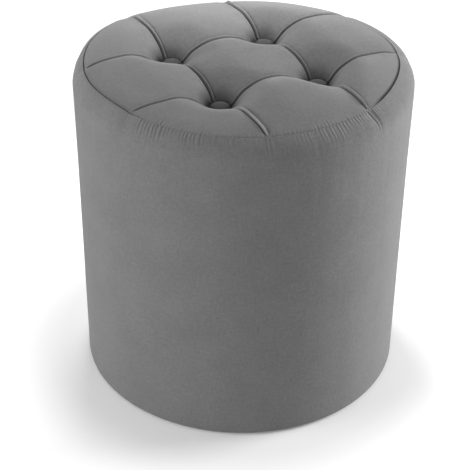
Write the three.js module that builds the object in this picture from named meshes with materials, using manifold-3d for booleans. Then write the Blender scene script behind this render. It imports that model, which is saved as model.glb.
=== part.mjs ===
// A round tufted tuffet: a cloth-covered drum over a battened plywood frame.
// Millimetres, +Z up. It stands on its glides at z = 0, and the tufting grid runs along X and Y.
import * as THREE from "three";
import { mergeVertices } from "three/addons/utils/BufferGeometryUtils.js";
import Module from "manifold-3d";

const wasm = await Module();
wasm.setup();

// Overall sizes
const drumDiameter = 400;
const seamHeight = 402; // floor to the seam round the top
const clearance = 0.3; // left between neighbouring solids
const cutOverrun = 1; // how far a cutter runs past the face that it cuts
const ringSegments = 64;
const smallSegments = 16;
const fastenerSegments = 8;

// Cover: a tufted top panel, and a side band turned under the base
const clothThickness = 1.2;
const seamAllowance = 12; // cloth turned down inside the rim seam
const seamRoll = 1; // rounding of each ply as it turns into the seam
const shoulderHeight = 26; // side band curving in to the seam
const shoulderSteps = 4;
const hemWidth = 24; // cloth turned under the base board
const hemRound = 2.5;

// Tufting: four buttons on a square, with tucks along the grid and out to the rim
const tuftSpacingShare = 0.3175; // of the drum's diameter
const crownRise = 13; // pillow tops above the rim seam
const tuftDepth = 20; // cloth under a button, below the rim seam
const pitReach = 12; // from a button's edge to where half of its pull is gone
const roundReach = 40; // from a button to where the grid round it is square again
const tuckDepth = 15; // of a tuck at the middle of the seat
const tuckReach = 6.5; // distance over which a tuck dies out across a pillow
const domePower = 9;
const tuckFadePower = 2; // a tuck grows shallower all the way to the rim
const pitFadePower = 8;
const slopeStepShare = 0.05; // of a button's radius, the step that measures a slope
const mostStretch = 1.8; // limit on how far a slope thickens a layer, measured upright
const centreShares = [-0.58, -0.29, 0, 0.29, 0.58]; // of half the button spacing
const outerShares = [0.3, 0.56, 0.8, 1]; // of the way from a tuck to the rim

// Padding
const sideFoamThickness = 12;
const seatFoamDepth = 55; // deck to the level of the rim seam
const wadding = 6; // polyester layer between the seat foam and the cover
const stuffingHoleDiameter = 7; // through the padding, for a button's twine
const foamJoint = 0.6; // where the ends of the side foam meet

// Frame
const boardThickness = 12;
const wallThickness = 3;
const wallJoint = 2; // where the ends of the wall meet, on a post
const postCount = 6;
const postWidth = 45;
const postDepth = 20;
const postChamfer = 1.5;
const firstPostAngle = Math.PI / 2; // the post behind the joint of the wall

// Frame screws
const screwLength = 40;
const screwShankDiameter = 4;
const screwHeadDiameter = 8;
const screwHeadDepth = 2.6;
const screwRimDepth = 0.4;
const screwTip = 5;
const driveWidth = 1.2;
const driveSpan = 4.6;
const driveDepth = 1.4;

// Covered buttons
const buttonDiameter = 22.9;
const buttonHeight = 6.8;
const buttonEdge = 2.4; // height of the button's widest point
const buttonRoll = 1.4; // how far the edge turns in below it
const buttonShell = 1.3;
const buttonSteps = 4;
const buttonLiningSteps = 3;
const buttonMouthDiameter = 15;
const buttonPlate = 1;
const shankWire = 1.3;
const shankWidth = 7.2;
const shankDrop = 3.4; // from the plate down to the middle of the loop's round end
const shankSteps = 5;
const shankHoleDiameter = 10; // through the cover and wadding

// Tufting twine and its anchors under the deck
const twineDiameter = 1.6;
const twineSpread = 4.8; // between the two runs of a twine
const twineBevelShare = 0.28; // of the twine's diameter
const twineSteps = 4;
const knotDiameter = 6.4;
const knotRings = 6;
const anchorDiameter = 20;
const anchorThickness = 2.4;
const anchorRound = 0.6;

// Underside
const dustCloth = 0.6;
const dustMargin = 12; // cover's edge to the edge of the dust cloth
const dustStep = 2; // width over which the dust cloth steps down over the hem
const glideCount = 4;
const glideInset = 2.5; // from the step in the dust cloth to a glide
const glideDiameter = 22;
const glideHeight = 2.6;
const glideRound = 0.8;
const glideWall = 0.7; // plastic under the head of its nail
const nailHeadDiameter = 7;
const nailHeadThickness = 0.6;
const nailDiameter = 2.2;
const nailLength = 12;
const nailTip = 3;
const firstGlideAngle = Math.PI / 4;

// Radii, from the cover inwards. A ring of flats dips inside its circle, so rings keep that much more
// apart.
const drumRadius = drumDiameter / 2;
const halfSpacing = (drumDiameter * tuftSpacingShare) / 2;
const ringGap = clearance + drumRadius * (1 - Math.cos(Math.PI / ringSegments));
const sideFoamOuter = drumRadius - clothThickness - ringGap;
const sideFoamInner = sideFoamOuter - sideFoamThickness;
const wallOuter = sideFoamInner - ringGap;
const boardRadius = wallOuter - wallThickness - ringGap;
const bandPlyInner = wallOuter - clothThickness;
const panelPlyOuter = bandPlyInner - ringGap;
const panelPlyInner = panelPlyOuter - clothThickness;
const panelRadius = panelPlyInner - ringGap;
const hemInner = drumRadius - hemWidth;
const dustOuter = drumRadius - dustMargin;
const dustRaised = hemInner - ringGap - dustStep;
const glideCentre = dustRaised - glideInset - glideDiameter / 2;
const postCentre = Math.sqrt((boardRadius - clearance) ** 2 - (postWidth / 2) ** 2) - postDepth / 2;

// Heights, from the floor up
const dustBottom = glideHeight + clearance;
const boardBottom = dustBottom + dustCloth + clearance;
const hemTop = boardBottom - clearance;
const hemBottom = hemTop - clothThickness;
const dustEdgeTop = hemBottom - clearance;
const boardTop = boardBottom + boardThickness;
const deckTop = seamHeight - seatFoamDepth;
const deckBottom = deckTop - boardThickness;
const allowanceBottom = seamHeight - seamAllowance;
const shoulderBottom = seamHeight - shoulderHeight;
const pitFloor = seamHeight - tuftDepth;
const pitFloorRadius = buttonDiameter / 2;
const buttonBottom = pitFloor + clearance;
const seatFoamStep = allowanceBottom - clearance;

// A closed geometry as a solid that can be cut or joined.
function solidOf(geometry) {
  const bare = geometry.clone();
  bare.deleteAttribute("normal");
  bare.deleteAttribute("uv");
  const merged = mergeVertices(bare);
  return new wasm.Manifold(
    new wasm.Mesh({
      numProp: merged.attributes.position.itemSize,
      vertProperties: new Float32Array(merged.attributes.position.array),
      triVerts: new Uint32Array(merged.index.array),
    }),
  );
}

function geometryOf(solid) {
  const mesh = solid.getMesh();
  const geometry = new THREE.BufferGeometry();
  geometry.setAttribute("position", new THREE.BufferAttribute(mesh.vertProperties, mesh.numProp));
  geometry.setIndex(new THREE.BufferAttribute(mesh.triVerts, 1));
  geometry.computeVertexNormals();
  return geometry;
}

const cut = (geometry, cutters) =>
  geometryOf(cutters.reduce((solid, cutter) => solid.subtract(solidOf(cutter)), solidOf(geometry)));

const join = (geometries) =>
  geometryOf(geometries.map(solidOf).reduce((solid, other) => solid.add(other)));

// A profile of [radius, height] points, upwards on its outer side, turned about the Z axis.
function revolve(profile, segments = ringSegments) {
  const points = profile.map(([radius, height]) => new THREE.Vector2(radius, height));
  return new THREE.LatheGeometry(points, segments).rotateX(Math.PI / 2);
}

// The same, for a ring: the profile closes on its first point.
const revolveRing = (profile, segments) => revolve([...profile, profile[0]], segments);

// Points of a quarter ellipse from its widest point to its top, or the other way.
function quarterEllipse(centreRadius, centreHeight, across, up, steps, fromTop = false) {
  const points = [];
  for (let step = 0; step <= steps; step++) {
    const share = fromTop ? 1 - step / steps : step / steps;
    const angle = (share * Math.PI) / 2;
    points.push([centreRadius + across * Math.cos(angle), centreHeight + up * Math.sin(angle)]);
  }
  return points;
}

function uprightCylinder(diameter, bottom, top, segments = smallSegments) {
  return new THREE.CylinderGeometry(diameter / 2, diameter / 2, top - bottom, segments)
    .rotateX(Math.PI / 2)
    .translate(0, 0, (bottom + top) / 2);
}

function aroundCircle(count, firstAngle, make) {
  return Array.from({ length: count }, (_, index) =>
    make(firstAngle + (index * 2 * Math.PI) / count, index + 1),
  );
}

const buttonPlaces = [
  [-1, 1],
  [1, 1],
  [1, -1],
  [-1, -1],
].map(([side, end]) => [side * halfSpacing, end * halfSpacing]);

const atButtons = (geometry) => buttonPlaces.map(([x, y]) => geometry.clone().translate(x, y, 0));

const rimShareAt = (x, y) => Math.min(1, Math.hypot(x, y) / panelRadius);

// How far the tufting pulls the cloth down at a point of the plan: all the way at the buttons, part of it
// along tucks.
function tuftPull(x, y) {
  const fromTuckX = Math.abs(Math.abs(x) - halfSpacing);
  const fromTuckY = Math.abs(Math.abs(y) - halfSpacing);
  const fromPit = Math.max(0, Math.hypot(fromTuckX, fromTuckY) - pitFloorRadius);
  const rimShare = rimShareAt(x, y);
  const fullPull = crownRise + tuftDepth;
  const tuckShare = (tuckDepth / fullPull) * (1 - rimShare ** tuckFadePower);
  const pitLeftShare = 1 - 1 / (1 + (fromPit / pitReach) ** 2);
  const tuckLeftShare =
    (1 - tuckShare * Math.exp(-fromTuckX / tuckReach)) *
    (1 - tuckShare * Math.exp(-fromTuckY / tuckReach));
  return fullPull * (1 - pitLeftShare * tuckLeftShare) * (1 - rimShare ** pitFadePower);
}

// Height of the cover's upper face.
const coverHeight = (x, y) =>
  seamHeight + crownRise * (1 - rimShareAt(x, y) ** domePower) - tuftPull(x, y);

// A layer that lies on a slope measures more upright than through its thickness.
function slopeStretch(x, y) {
  const step = pitFloorRadius * slopeStepShare;
  const slopeX = (tuftPull(x + step, y) - tuftPull(x - step, y)) / (2 * step);
  const slopeY = (tuftPull(x, y + step) - tuftPull(x, y - step)) / (2 * step);
  return Math.min(mostStretch, Math.hypot(1, slopeX, slopeY));
}

// The stations of the quilted grid along one axis. A middle one is a share of the way to a tuck, and an
// outer one of the way from a tuck to the rim. A tuck has a station a button's radius away on each side.
const tuckEnd = Math.sqrt(panelRadius ** 2 - halfSpacing ** 2);
const besideTuckShare = 1 - pitFloorRadius / halfSpacing;
const firstOuterShare = pitFloorRadius / (tuckEnd - halfSpacing);
const middleShares = [-1, -besideTuckShare, ...centreShares, besideTuckShare, 1];
const outerStations = (side) =>
  [firstOuterShare, ...outerShares].map((share) => ({ outer: true, side, share }));
const stations = [
  ...outerStations(-1).reverse(),
  ...middleShares.map((share) => ({ share })),
  ...outerStations(1),
];

// A grid point, with straight tucks and the last line on the rim. A corner is blended from its tucks
// and its arc.
function gridPoint(along, across, rim) {
  if (!along.outer && !across.outer) return [halfSpacing * along.share, halfSpacing * across.share];
  if (!along.outer) return gridPoint(across, along, rim).reverse();
  if (!across.outer) {
    const y = halfSpacing * across.share;
    const reach = Math.sqrt(rim ** 2 - y ** 2) - halfSpacing;
    return [along.side * (halfSpacing + along.share * reach), y];
  }
  const tuckAngle = Math.asin(halfSpacing / rim);
  const arc = (share) => tuckAngle + (Math.PI / 4 - tuckAngle) * share;
  const blended = (s, t) =>
    halfSpacing * (1 - s) * (1 - t) +
    rim * (t * Math.sin(arc(s)) + s * Math.cos(arc(t)) - s * t * Math.SQRT1_2);
  const [s, t] = [along.share, across.share];
  return [along.side * blended(s, t), across.side * blended(t, s)];
}

// The same point, drawn in so that the grid runs round each button.
function planPoint(along, across, rim) {
  const point = gridPoint(along, across, rim);
  const fromButton = point.map((place) => Math.abs(place) - halfSpacing);
  const squareRadius = Math.max(...fromButton.map(Math.abs));
  const roundShare = Math.min(1, Math.max(0, (roundReach - squareRadius) / (roundReach - pitFloorRadius)));
  if (roundShare * squareRadius === 0) return point;
  const drawIn = 1 + roundShare * (squareRadius / Math.hypot(...fromButton) - 1);
  return point.map((place, axis) => Math.sign(place) * (halfSpacing + fromButton[axis] * drawIn));
}

// A closed layer of the tufted top. Its upper face lies a depth below the cover's face, its rim follows
// rings of [radius, height], and its lower face is another such depth, or flat at the last ring's height.
function tuftedLayer(rim, upperDepth, rimRings, lowerDepth) {
  const positions = [];
  const faces = [];
  const count = stations.length;
  const place = (x, y, z) => positions.push(x, y, z) / 3 - 1;

  function grid(depth, upwards) {
    const first = positions.length / 3;
    for (const across of stations) {
      for (const along of stations) {
        const [x, y] = planPoint(along, across, rim);
        place(x, y, coverHeight(x, y) - depth * slopeStretch(x, y));
      }
    }
    for (let row = 0; row + 1 < count; row++) {
      for (let column = 0; column + 1 < count; column++) {
        const near = first + row * count + column;
        const [a, b, c, d] = [near, near + 1, near + count + 1, near + count];
        const falling = 2 * row + 1 < count === 2 * column + 1 < count;
        const pair = falling ? [[a, b, c], [a, c, d]] : [[a, b, d], [b, c, d]];
        for (const [p, q, r] of pair) faces.push(...(upwards ? [p, q, r] : [p, r, q]));
      }
    }
    const edge = [];
    const last = count - 1;
    for (let step = 0; step < last; step++) edge.push(first + step);
    for (let step = 0; step < last; step++) edge.push(first + step * count + last);
    for (let step = 0; step < last; step++) edge.push(first + last * count + last - step);
    for (let step = 0; step < last; step++) edge.push(first + (last - step) * count);
    return edge;
  }

  function ring([radius, height], edge) {
    return edge.map((vertex) => {
      const angle = Math.atan2(positions[3 * vertex + 1], positions[3 * vertex]);
      return place(radius * Math.cos(angle), radius * Math.sin(angle), height);
    });
  }

  const upper = grid(upperDepth, true);
  const loops = [upper, ...rimRings.map((at) => ring(at, upper))];
  if (lowerDepth !== undefined) loops.push(grid(lowerDepth, false));
  for (let index = 0; index + 1 < loops.length; index++) {
    const [high, low] = [loops[index], loops[index + 1]];
    high.forEach((vertex, step) => {
      const next = (step + 1) % high.length;
      faces.push(vertex, low[step], low[next], vertex, low[next], high[next]);
    });
  }
  if (lowerDepth === undefined) {
    const flat = loops[loops.length - 1];
    const middle = place(0, 0, rimRings[rimRings.length - 1][1]);
    flat.forEach((vertex, step) => faces.push(middle, flat[(step + 1) % flat.length], vertex));
  }
  const geometry = new THREE.BufferGeometry();
  geometry.setAttribute("position", new THREE.Float32BufferAttribute(positions, 3));
  geometry.setIndex(faces);
  return geometry;
}

// Finishes
const finish = (color, roughness, metalness = 0) =>
  new THREE.MeshStandardMaterial({ color, roughness, metalness });
const coverCloth = finish(0x8b8b8c, 0.9);
const buttonCloth = finish(0x7b7b7c, 0.9);
const dustFabric = finish(0x1d1d1f, 0.95);
const foam = finish(0xe6ddc4, 0.95);
const polyester = finish(0xf2f2ee, 0.95);
const plywood = finish(0xc9a877, 0.75);
const pine = finish(0xd9bd8b, 0.75);
const hardboard = finish(0x6e4a2f, 0.8);
const twineFibre = finish(0xe4e0d2, 0.8);
const nylon = finish(0x2a2a2c, 0.5);
const zincSteel = finish(0xb9bcc0, 0.35, 1);

function piece(name, geometry, material) {
  const mesh = new THREE.Mesh(geometry, material);
  mesh.name = name;
  return mesh;
}

// The tufted top panel, with its edge turned down into the rim seam.
function topCover() {
  const rim = [
    [panelPlyOuter - seamRoll / 2, seamHeight - clearance],
    [panelPlyOuter, seamHeight - seamRoll],
    [panelPlyOuter, allowanceBottom],
    [panelPlyInner, allowanceBottom],
  ];
  const hole = uprightCylinder(shankHoleDiameter, pitFloor - tuftDepth, seamHeight);
  const panel = tuftedLayer(panelPlyInner, 0, rim, clothThickness);
  return piece("top_cover", cut(panel, atButtons(hole)), coverCloth);
}

// The side band: turned under at the foot, curved in at the shoulder, and turned down into the rim seam.
function sideCover() {
  const shoulderAcross = drumRadius - wallOuter;
  const innerRound = hemRound - clothThickness;
  const footCentre = drumRadius - hemRound;
  const footHeight = hemBottom + hemRound;
  const foot = (radius) => [
    [footCentre, footHeight - radius],
    [footCentre + radius, footHeight],
  ];
  const profile = [
    [hemInner, hemBottom],
    ...foot(hemRound),
    ...quarterEllipse(wallOuter, shoulderBottom, shoulderAcross, shoulderHeight, shoulderSteps),
    [bandPlyInner, seamHeight - seamRoll],
    [bandPlyInner, allowanceBottom],
    [wallOuter, allowanceBottom],
    ...quarterEllipse(
      wallOuter,
      shoulderBottom,
      shoulderAcross - clothThickness,
      shoulderHeight - clothThickness,
      shoulderSteps,
      true,
    ),
    ...foot(innerRound).reverse(),
    [hemInner, hemTop],
  ];
  return piece("side_cover", revolveRing(profile), coverCloth);
}

// The wadding over the seat foam.
function seatWadding() {
  const upper = clothThickness + clearance;
  const hole = uprightCylinder(shankHoleDiameter, deckTop, seamHeight);
  const layer = tuftedLayer(panelRadius, upper, [], upper + wadding);
  return piece("seat_wadding", cut(layer, atButtons(hole)), polyester);
}

// The seat foam, stepped in at its top edge to make room for the seam allowances.
function seatFoam() {
  const rim = [
    [panelRadius, seatFoamStep],
    [wallOuter, seatFoamStep],
    [wallOuter, deckTop + clearance],
  ];
  const layer = tuftedLayer(panelRadius, clothThickness + wadding + 2 * clearance, rim);
  const hole = uprightCylinder(stuffingHoleDiameter, deckTop, seamHeight);
  return piece("seat_foam", cut(layer, atButtons(hole)), foam);
}

// A slot at the back of a ring, where the ends of a wrapped sheet meet.
function wrapJoint(width, radius) {
  const reach = radius + cutOverrun;
  const height = seamHeight + cutOverrun;
  return new THREE.BoxGeometry(width, reach, height).translate(0, reach / 2, height / 2);
}

// Foam wrapped round the wall, with its upper edge rounded to fill the shoulder.
function sideFoam() {
  const across = sideFoamOuter - wallOuter;
  const up = shoulderHeight - clothThickness - ringGap;
  const innerTop = shoulderBottom + up * Math.sqrt(1 - (ringGap / across) ** 2);
  const profile = [
    [sideFoamInner, boardBottom],
    [sideFoamOuter - hemRound, boardBottom],
    [sideFoamOuter, boardBottom + hemRound],
    ...quarterEllipse(wallOuter, shoulderBottom, across, up, shoulderSteps).slice(0, -1),
    [sideFoamInner, innerTop],
  ];
  return piece("side_foam", cut(revolveRing(profile), [wrapJoint(foamJoint, drumRadius)]), foam);
}

// Hardboard bent round the posts and boards.
function drumWall() {
  const profile = [
    [wallOuter - wallThickness, boardBottom],
    [wallOuter, boardBottom],
    [wallOuter, deckTop],
    [wallOuter - wallThickness, deckTop],
  ];
  return piece("drum_wall", cut(revolveRing(profile), [wrapJoint(wallJoint, drumRadius)]), hardboard);
}

const postPlaces = aroundCircle(postCount, firstPostAngle, (angle) => angle);

// A countersunk screw with its head's face at height 0, pointing down. Grown by a gap, it is the hole
// for itself.
function screwBody(gap = 0) {
  const shank = screwShankDiameter / 2 + gap;
  const head = screwHeadDiameter / 2 + gap;
  return revolve(
    [
      [0, -screwLength - gap],
      [shank, -screwLength + screwTip - gap],
      [shank, -screwHeadDepth],
      [head, -screwRimDepth],
      [head, gap],
      [0, gap],
    ],
    fastenerSegments,
  );
}

function driveCutters() {
  const arm = new THREE.BoxGeometry(driveSpan, driveWidth, driveDepth + cutOverrun);
  arm.translate(0, 0, (cutOverrun - driveDepth) / 2);
  return [arm, arm.clone().rotateZ(Math.PI / 2)];
}

// Moves a geometry that points down from height 0 so that it enters the deck, or turns it to enter the
// base board from below.
const intoDeck = (geometry) => geometry.translate(0, 0, deckTop);
const intoBase = (geometry) => geometry.rotateX(Math.PI).translate(0, 0, boardBottom);

function atPost(geometry, angle) {
  return geometry.translate(postCentre * Math.cos(angle), postCentre * Math.sin(angle), 0);
}

function frameScrews() {
  const screw = cut(screwBody(), driveCutters()).translate(0, 0, -clearance);
  return postPlaces.flatMap((angle, index) => [
    piece(`deck_screw_${index + 1}`, atPost(intoDeck(screw.clone()), angle), zincSteel),
    piece(`base_screw_${index + 1}`, atPost(intoBase(screw.clone()), angle), zincSteel),
  ]);
}

// Upright battens between the two boards, flat sides to the wall.
function framePosts() {
  const [w, d, c] = [postDepth / 2, postWidth / 2, postChamfer];
  const outline = new THREE.Shape(
    [
      [w, d - c],
      [w - c, d],
      [c - w, d],
      [-w, d - c],
      [-w, c - d],
      [c - w, -d],
      [w - c, -d],
      [w, c - d],
    ].map(([x, y]) => new THREE.Vector2(x, y)),
  );
  const bottom = boardTop + clearance;
  const length = deckBottom - clearance - bottom;
  const batten = new THREE.ExtrudeGeometry(outline, { depth: length, bevelEnabled: false });
  const holes = [intoDeck(screwBody(clearance)), intoBase(screwBody(clearance))];
  const drilled = cut(batten.translate(0, 0, bottom), holes);
  return postPlaces.map((angle, index) =>
    piece(`post_${index + 1}`, atPost(drilled.clone().rotateZ(angle), angle), pine),
  );
}

// The plywood under the seat foam, drilled for the posts' screws and the buttons' twine.
function seatDeck() {
  const board = uprightCylinder(2 * boardRadius, deckBottom, deckTop, ringSegments);
  const twineHole = uprightCylinder(stuffingHoleDiameter, deckBottom - cutOverrun, deckTop + cutOverrun);
  const screwHoles = postPlaces.map((angle) => atPost(intoDeck(screwBody(clearance)), angle));
  return piece("seat_deck", cut(board, [...atButtons(twineHole), ...screwHoles]), plywood);
}

// A nail with its head at the bottom of a glide. Grown by a gap, it is the hole for itself.
function nailBody(gap = 0) {
  const shank = nailDiameter / 2 + gap;
  const head = nailHeadDiameter / 2 + gap;
  const bottom = glideWall + clearance - gap;
  return revolve(
    [
      [0, bottom],
      [head, bottom],
      [head, bottom + nailHeadThickness + 2 * gap],
      [shank, bottom + nailHeadThickness + 2 * gap],
      [shank, glideWall + nailLength - nailTip],
      [0, glideWall + nailLength + gap],
    ],
    fastenerSegments,
  );
}

const atGlide = (geometry, angle) =>
  geometry.translate(glideCentre * Math.cos(angle), glideCentre * Math.sin(angle), 0);

const nailHoles = () =>
  aroundCircle(glideCount, firstGlideAngle, (angle) => atGlide(nailBody(clearance), angle));

function baseBoard() {
  const board = uprightCylinder(2 * boardRadius, boardBottom, boardTop, ringSegments);
  const screwHoles = postPlaces.map((angle) => atPost(intoBase(screwBody(clearance)), angle));
  return piece("base_board", cut(board, [...screwHoles, ...nailHoles()]), plywood);
}

// Cloth stapled under the base, drawn up to the board inside the hem and stepped down over it.
function dustCover() {
  const profile = [
    [0, dustBottom],
    [dustRaised - dustCloth, dustBottom],
    [dustRaised + dustStep - dustCloth, dustEdgeTop - dustCloth],
    [dustOuter, dustEdgeTop - dustCloth],
    [dustOuter, dustEdgeTop],
    [dustRaised + dustStep, dustEdgeTop],
    [dustRaised, dustBottom + dustCloth],
    [0, dustBottom + dustCloth],
  ];
  return piece("dust_cover", cut(revolve(profile), nailHoles()), dustFabric);
}

function glides() {
  const radius = glideDiameter / 2;
  const profile = [
    [0, 0],
    [radius - glideRound, 0],
    [radius, glideRound],
    [radius, glideHeight],
    [0, glideHeight],
  ];
  const body = cut(revolve(profile, smallSegments), [nailBody(clearance)]);
  return aroundCircle(glideCount, firstGlideAngle, (angle, number) => [
    piece(`glide_${number}`, atGlide(body.clone(), angle), nylon),
    piece(`glide_nail_${number}`, atGlide(nailBody(), angle), zincSteel),
  ]).flat();
}

// A cloth-covered shell, open below, with its edge rolled in under the back plate.
function buttonCap() {
  const radius = buttonDiameter / 2;
  const domeUp = buttonHeight - buttonEdge;
  const mouth = buttonMouthDiameter / 2;
  const profile = [
    [mouth, 0],
    [radius - buttonRoll, 0],
    ...quarterEllipse(0, buttonEdge, radius, domeUp, buttonSteps),
    ...quarterEllipse(0, buttonEdge, radius - buttonShell, domeUp - buttonShell, buttonLiningSteps, true),
    [radius - buttonShell, buttonShell],
    [mouth, buttonShell],
  ];
  return revolveRing(profile, smallSegments);
}

// The plate that the shell is rolled over, with its wire loop hanging through the mouth.
function buttonBack() {
  const plateBottom = buttonShell + clearance;
  const plateDiameter = buttonDiameter - 2 * buttonShell - 2 * clearance;
  const plate = uprightCylinder(plateDiameter, plateBottom, plateBottom + buttonPlate);
  const outer = shankWidth / 2;
  const inner = outer - shankWire;
  const top = plateBottom + buttonPlate / 2;
  const loopCentre = plateBottom - shankDrop;
  const loop = new THREE.Shape();
  loop.moveTo(-outer, top);
  loop.lineTo(-outer, loopCentre);
  loop.absarc(0, loopCentre, outer, Math.PI, 2 * Math.PI);
  loop.lineTo(outer, top);
  loop.lineTo(inner, top);
  loop.lineTo(inner, loopCentre);
  loop.absarc(0, loopCentre, inner, 2 * Math.PI, Math.PI, true);
  loop.lineTo(-inner, top);
  const bend = { depth: shankWire, bevelEnabled: false, curveSegments: shankSteps };
  const wire = new THREE.ExtrudeGeometry(loop, bend);
  return join([plate, wire.translate(0, 0, -shankWire / 2).rotateX(Math.PI / 2)]);
}

const knotCentre = deckBottom - clearance - anchorThickness - clearance - knotDiameter / 2;

// A twine doubled through a button's loop, run down through the deck and knotted under its anchor.
function tuftingTwine() {
  const loopInside = buttonBottom + buttonShell + clearance - shankDrop - shankWidth / 2 + shankWire;
  const outer = (twineSpread + twineDiameter) / 2;
  const inner = outer - twineDiameter;
  const archCentre = loopInside + clearance - inner;
  const bevel = twineDiameter * twineBevelShare;
  const run = new THREE.Shape();
  run.moveTo(-outer, knotCentre);
  run.lineTo(-inner, knotCentre);
  run.lineTo(-inner, archCentre);
  run.absarc(0, archCentre, inner, Math.PI, 0, true);
  run.lineTo(inner, knotCentre);
  run.lineTo(outer, knotCentre);
  run.lineTo(outer, archCentre);
  run.absarc(0, archCentre, outer, 0, Math.PI);
  const strand = new THREE.ExtrudeGeometry(run, {
    depth: twineDiameter - 2 * bevel,
    bevelThickness: bevel,
    bevelSize: bevel,
    bevelOffset: -bevel,
    bevelSegments: 1,
    curveSegments: twineSteps,
  });
  strand.translate(0, 0, bevel - twineDiameter / 2).rotateX(Math.PI / 2).rotateZ(Math.PI / 2);
  const knot = new THREE.SphereGeometry(knotDiameter / 2, fastenerSegments, knotRings);
  return join([strand, knot.rotateX(Math.PI / 2).translate(0, 0, knotCentre)]);
}

// A two-hole disc that the twine is drawn up against.
function twineAnchor() {
  const top = deckBottom - clearance;
  const bottom = top - anchorThickness;
  const radius = anchorDiameter / 2;
  const profile = [
    [0, bottom],
    [radius - anchorRound, bottom],
    [radius, bottom + anchorRound],
    [radius, top],
    [0, top],
  ];
  const hole = uprightCylinder(
    twineDiameter + 2 * clearance,
    bottom - cutOverrun,
    top + cutOverrun,
    fastenerSegments,
  );
  const holes = [-1, 1].map((side) => hole.clone().translate(0, (side * twineSpread) / 2, 0));
  return cut(revolve(profile, smallSegments), holes);
}

function tufts() {
  const caps = atButtons(buttonCap().translate(0, 0, buttonBottom));
  const backs = atButtons(buttonBack().translate(0, 0, buttonBottom));
  const twines = atButtons(tuftingTwine());
  const anchors = atButtons(twineAnchor());
  return buttonPlaces.flatMap((_, index) => [
    piece(`button_cap_${index + 1}`, caps[index], buttonCloth),
    piece(`button_back_${index + 1}`, backs[index], zincSteel),
    piece(`tufting_twine_${index + 1}`, twines[index], twineFibre),
    piece(`twine_anchor_${index + 1}`, anchors[index], nylon),
  ]);
}

const tuffet = new THREE.Group();
tuffet.add(
  topCover(),
  sideCover(),
  seatWadding(),
  seatFoam(),
  sideFoam(),
  ...tufts(),
  seatDeck(),
  drumWall(),
  ...framePosts(),
  baseBoard(),
  ...frameScrews(),
  dustCover(),
  ...glides(),
);

export default tuffet;
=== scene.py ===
import math

import bpy
import numpy as np
from mathutils import Matrix, Vector


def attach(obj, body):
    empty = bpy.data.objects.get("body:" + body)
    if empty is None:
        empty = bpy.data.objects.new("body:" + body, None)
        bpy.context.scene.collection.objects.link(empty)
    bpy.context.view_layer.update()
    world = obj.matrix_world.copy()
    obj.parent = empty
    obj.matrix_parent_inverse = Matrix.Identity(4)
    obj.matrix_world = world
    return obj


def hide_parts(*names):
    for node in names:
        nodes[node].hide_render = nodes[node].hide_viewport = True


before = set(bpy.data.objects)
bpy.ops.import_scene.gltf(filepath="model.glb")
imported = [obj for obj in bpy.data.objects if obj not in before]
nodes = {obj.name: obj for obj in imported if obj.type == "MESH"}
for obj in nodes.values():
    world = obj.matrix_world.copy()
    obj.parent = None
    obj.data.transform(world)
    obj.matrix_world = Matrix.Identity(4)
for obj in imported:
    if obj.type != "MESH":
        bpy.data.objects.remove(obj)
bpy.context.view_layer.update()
mm = 0.001  # lengths in the dictionaries are millimetres
fullTurn = 2 * math.pi
quarter = math.pi / 2
print("frame loaded,", len(nodes), "nodes")


# helpers for meshes

def addPiece(name, points, faces, maps=None, marks=None, finish=None):
    # points in millimetres; a map has a pair a point, and the length after which it comes round
    mesh = bpy.data.meshes.new(name)
    mesh.from_pydata((np.asarray(points, float) * mm).tolist(), [], [list(map(int, f)) for f in faces])
    mesh.polygons.foreach_set("use_smooth", np.ones(len(mesh.polygons), bool))
    corner = np.zeros(len(mesh.loops), np.int32)
    mesh.loops.foreach_get("vertex_index", corner)
    start = np.zeros(len(mesh.polygons), np.int32)
    mesh.polygons.foreach_get("loop_start", start)
    for mapName, (uv, wrap) in (maps or {}).items():
        pairs = np.asarray(uv, float)[corner]
        if wrap:
            corners = np.diff(np.append(start, len(pairs)))
            highest = np.repeat(np.maximum.reduceat(pairs[:, 0], start), corners)
            pairs[:, 0] += np.where(highest - pairs[:, 0] > wrap / 2, wrap, 0)
        layer = mesh.uv_layers.new(name=mapName)
        layer.data.foreach_set("uv", (pairs * mm).ravel().astype(np.float32))
    for markName, values in (marks or {}).items():
        mark = mesh.attributes.new(markName, "FLOAT", "POINT")
        mark.data.foreach_set("value", np.asarray(values, np.float32))
    mesh.validate()
    if finish:
        mesh.materials.append(finish)
    piece = bpy.data.objects.new(name, mesh)
    bpy.context.scene.collection.objects.link(piece)
    return piece


def turnedFaces(rows, columns, closed=False):
    # quads between rows of points that each run once round the Z axis
    i, j = np.meshgrid(np.arange(rows if closed else rows - 1), np.arange(columns), indexing="ij")
    below, above = i * columns, (i + 1) % rows * columns
    beside = (j + 1) % columns
    return np.stack([below + j, below + beside, above + beside, above + j], -1).reshape(-1, 4)


def onCircle(radius, angle, height):
    return np.stack(np.broadcast_arrays(radius * np.cos(angle), radius * np.sin(angle), height), -1)


def turnedRows(profile, angles):
    # a profile of (radius, height) turned about the Z axis, one row a profile point
    profile = np.asarray(profile, float)
    return onCircle(profile[:, :1], angles, profile[:, 1:]).reshape(-1, 3)


def joined(above, below):
    # quads between two closed loops of points
    return np.stack([above, below, np.roll(below, -1), np.roll(above, -1)], -1)


def fan(loop, pole):
    # triangles from a closed loop of points to its pole
    return [[a, b, pole] for a, b in zip(loop, np.roll(loop, -1))]


def evenAngles(count):
    return np.arange(count) * fullTurn / count


def arcPoints(radius, height, across, up, start, end, count):
    # radius and height along an arc about a centre, from one angle of its curve to another
    turns = np.linspace(start, end, count)
    return [(radius + across * math.cos(a), height + up * math.sin(a)) for a in turns]


def roundMap(turn, along, radius):
    # a map that runs round the Z axis, and the length after which it comes round
    return np.stack([turn * radius, along], -1), fullTurn * radius


def bump(distance, width, power=2):
    # 1 at the middle; a higher power has a flatter top and steeper sides
    return np.exp(-(np.asarray(distance) / width) ** power)


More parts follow.
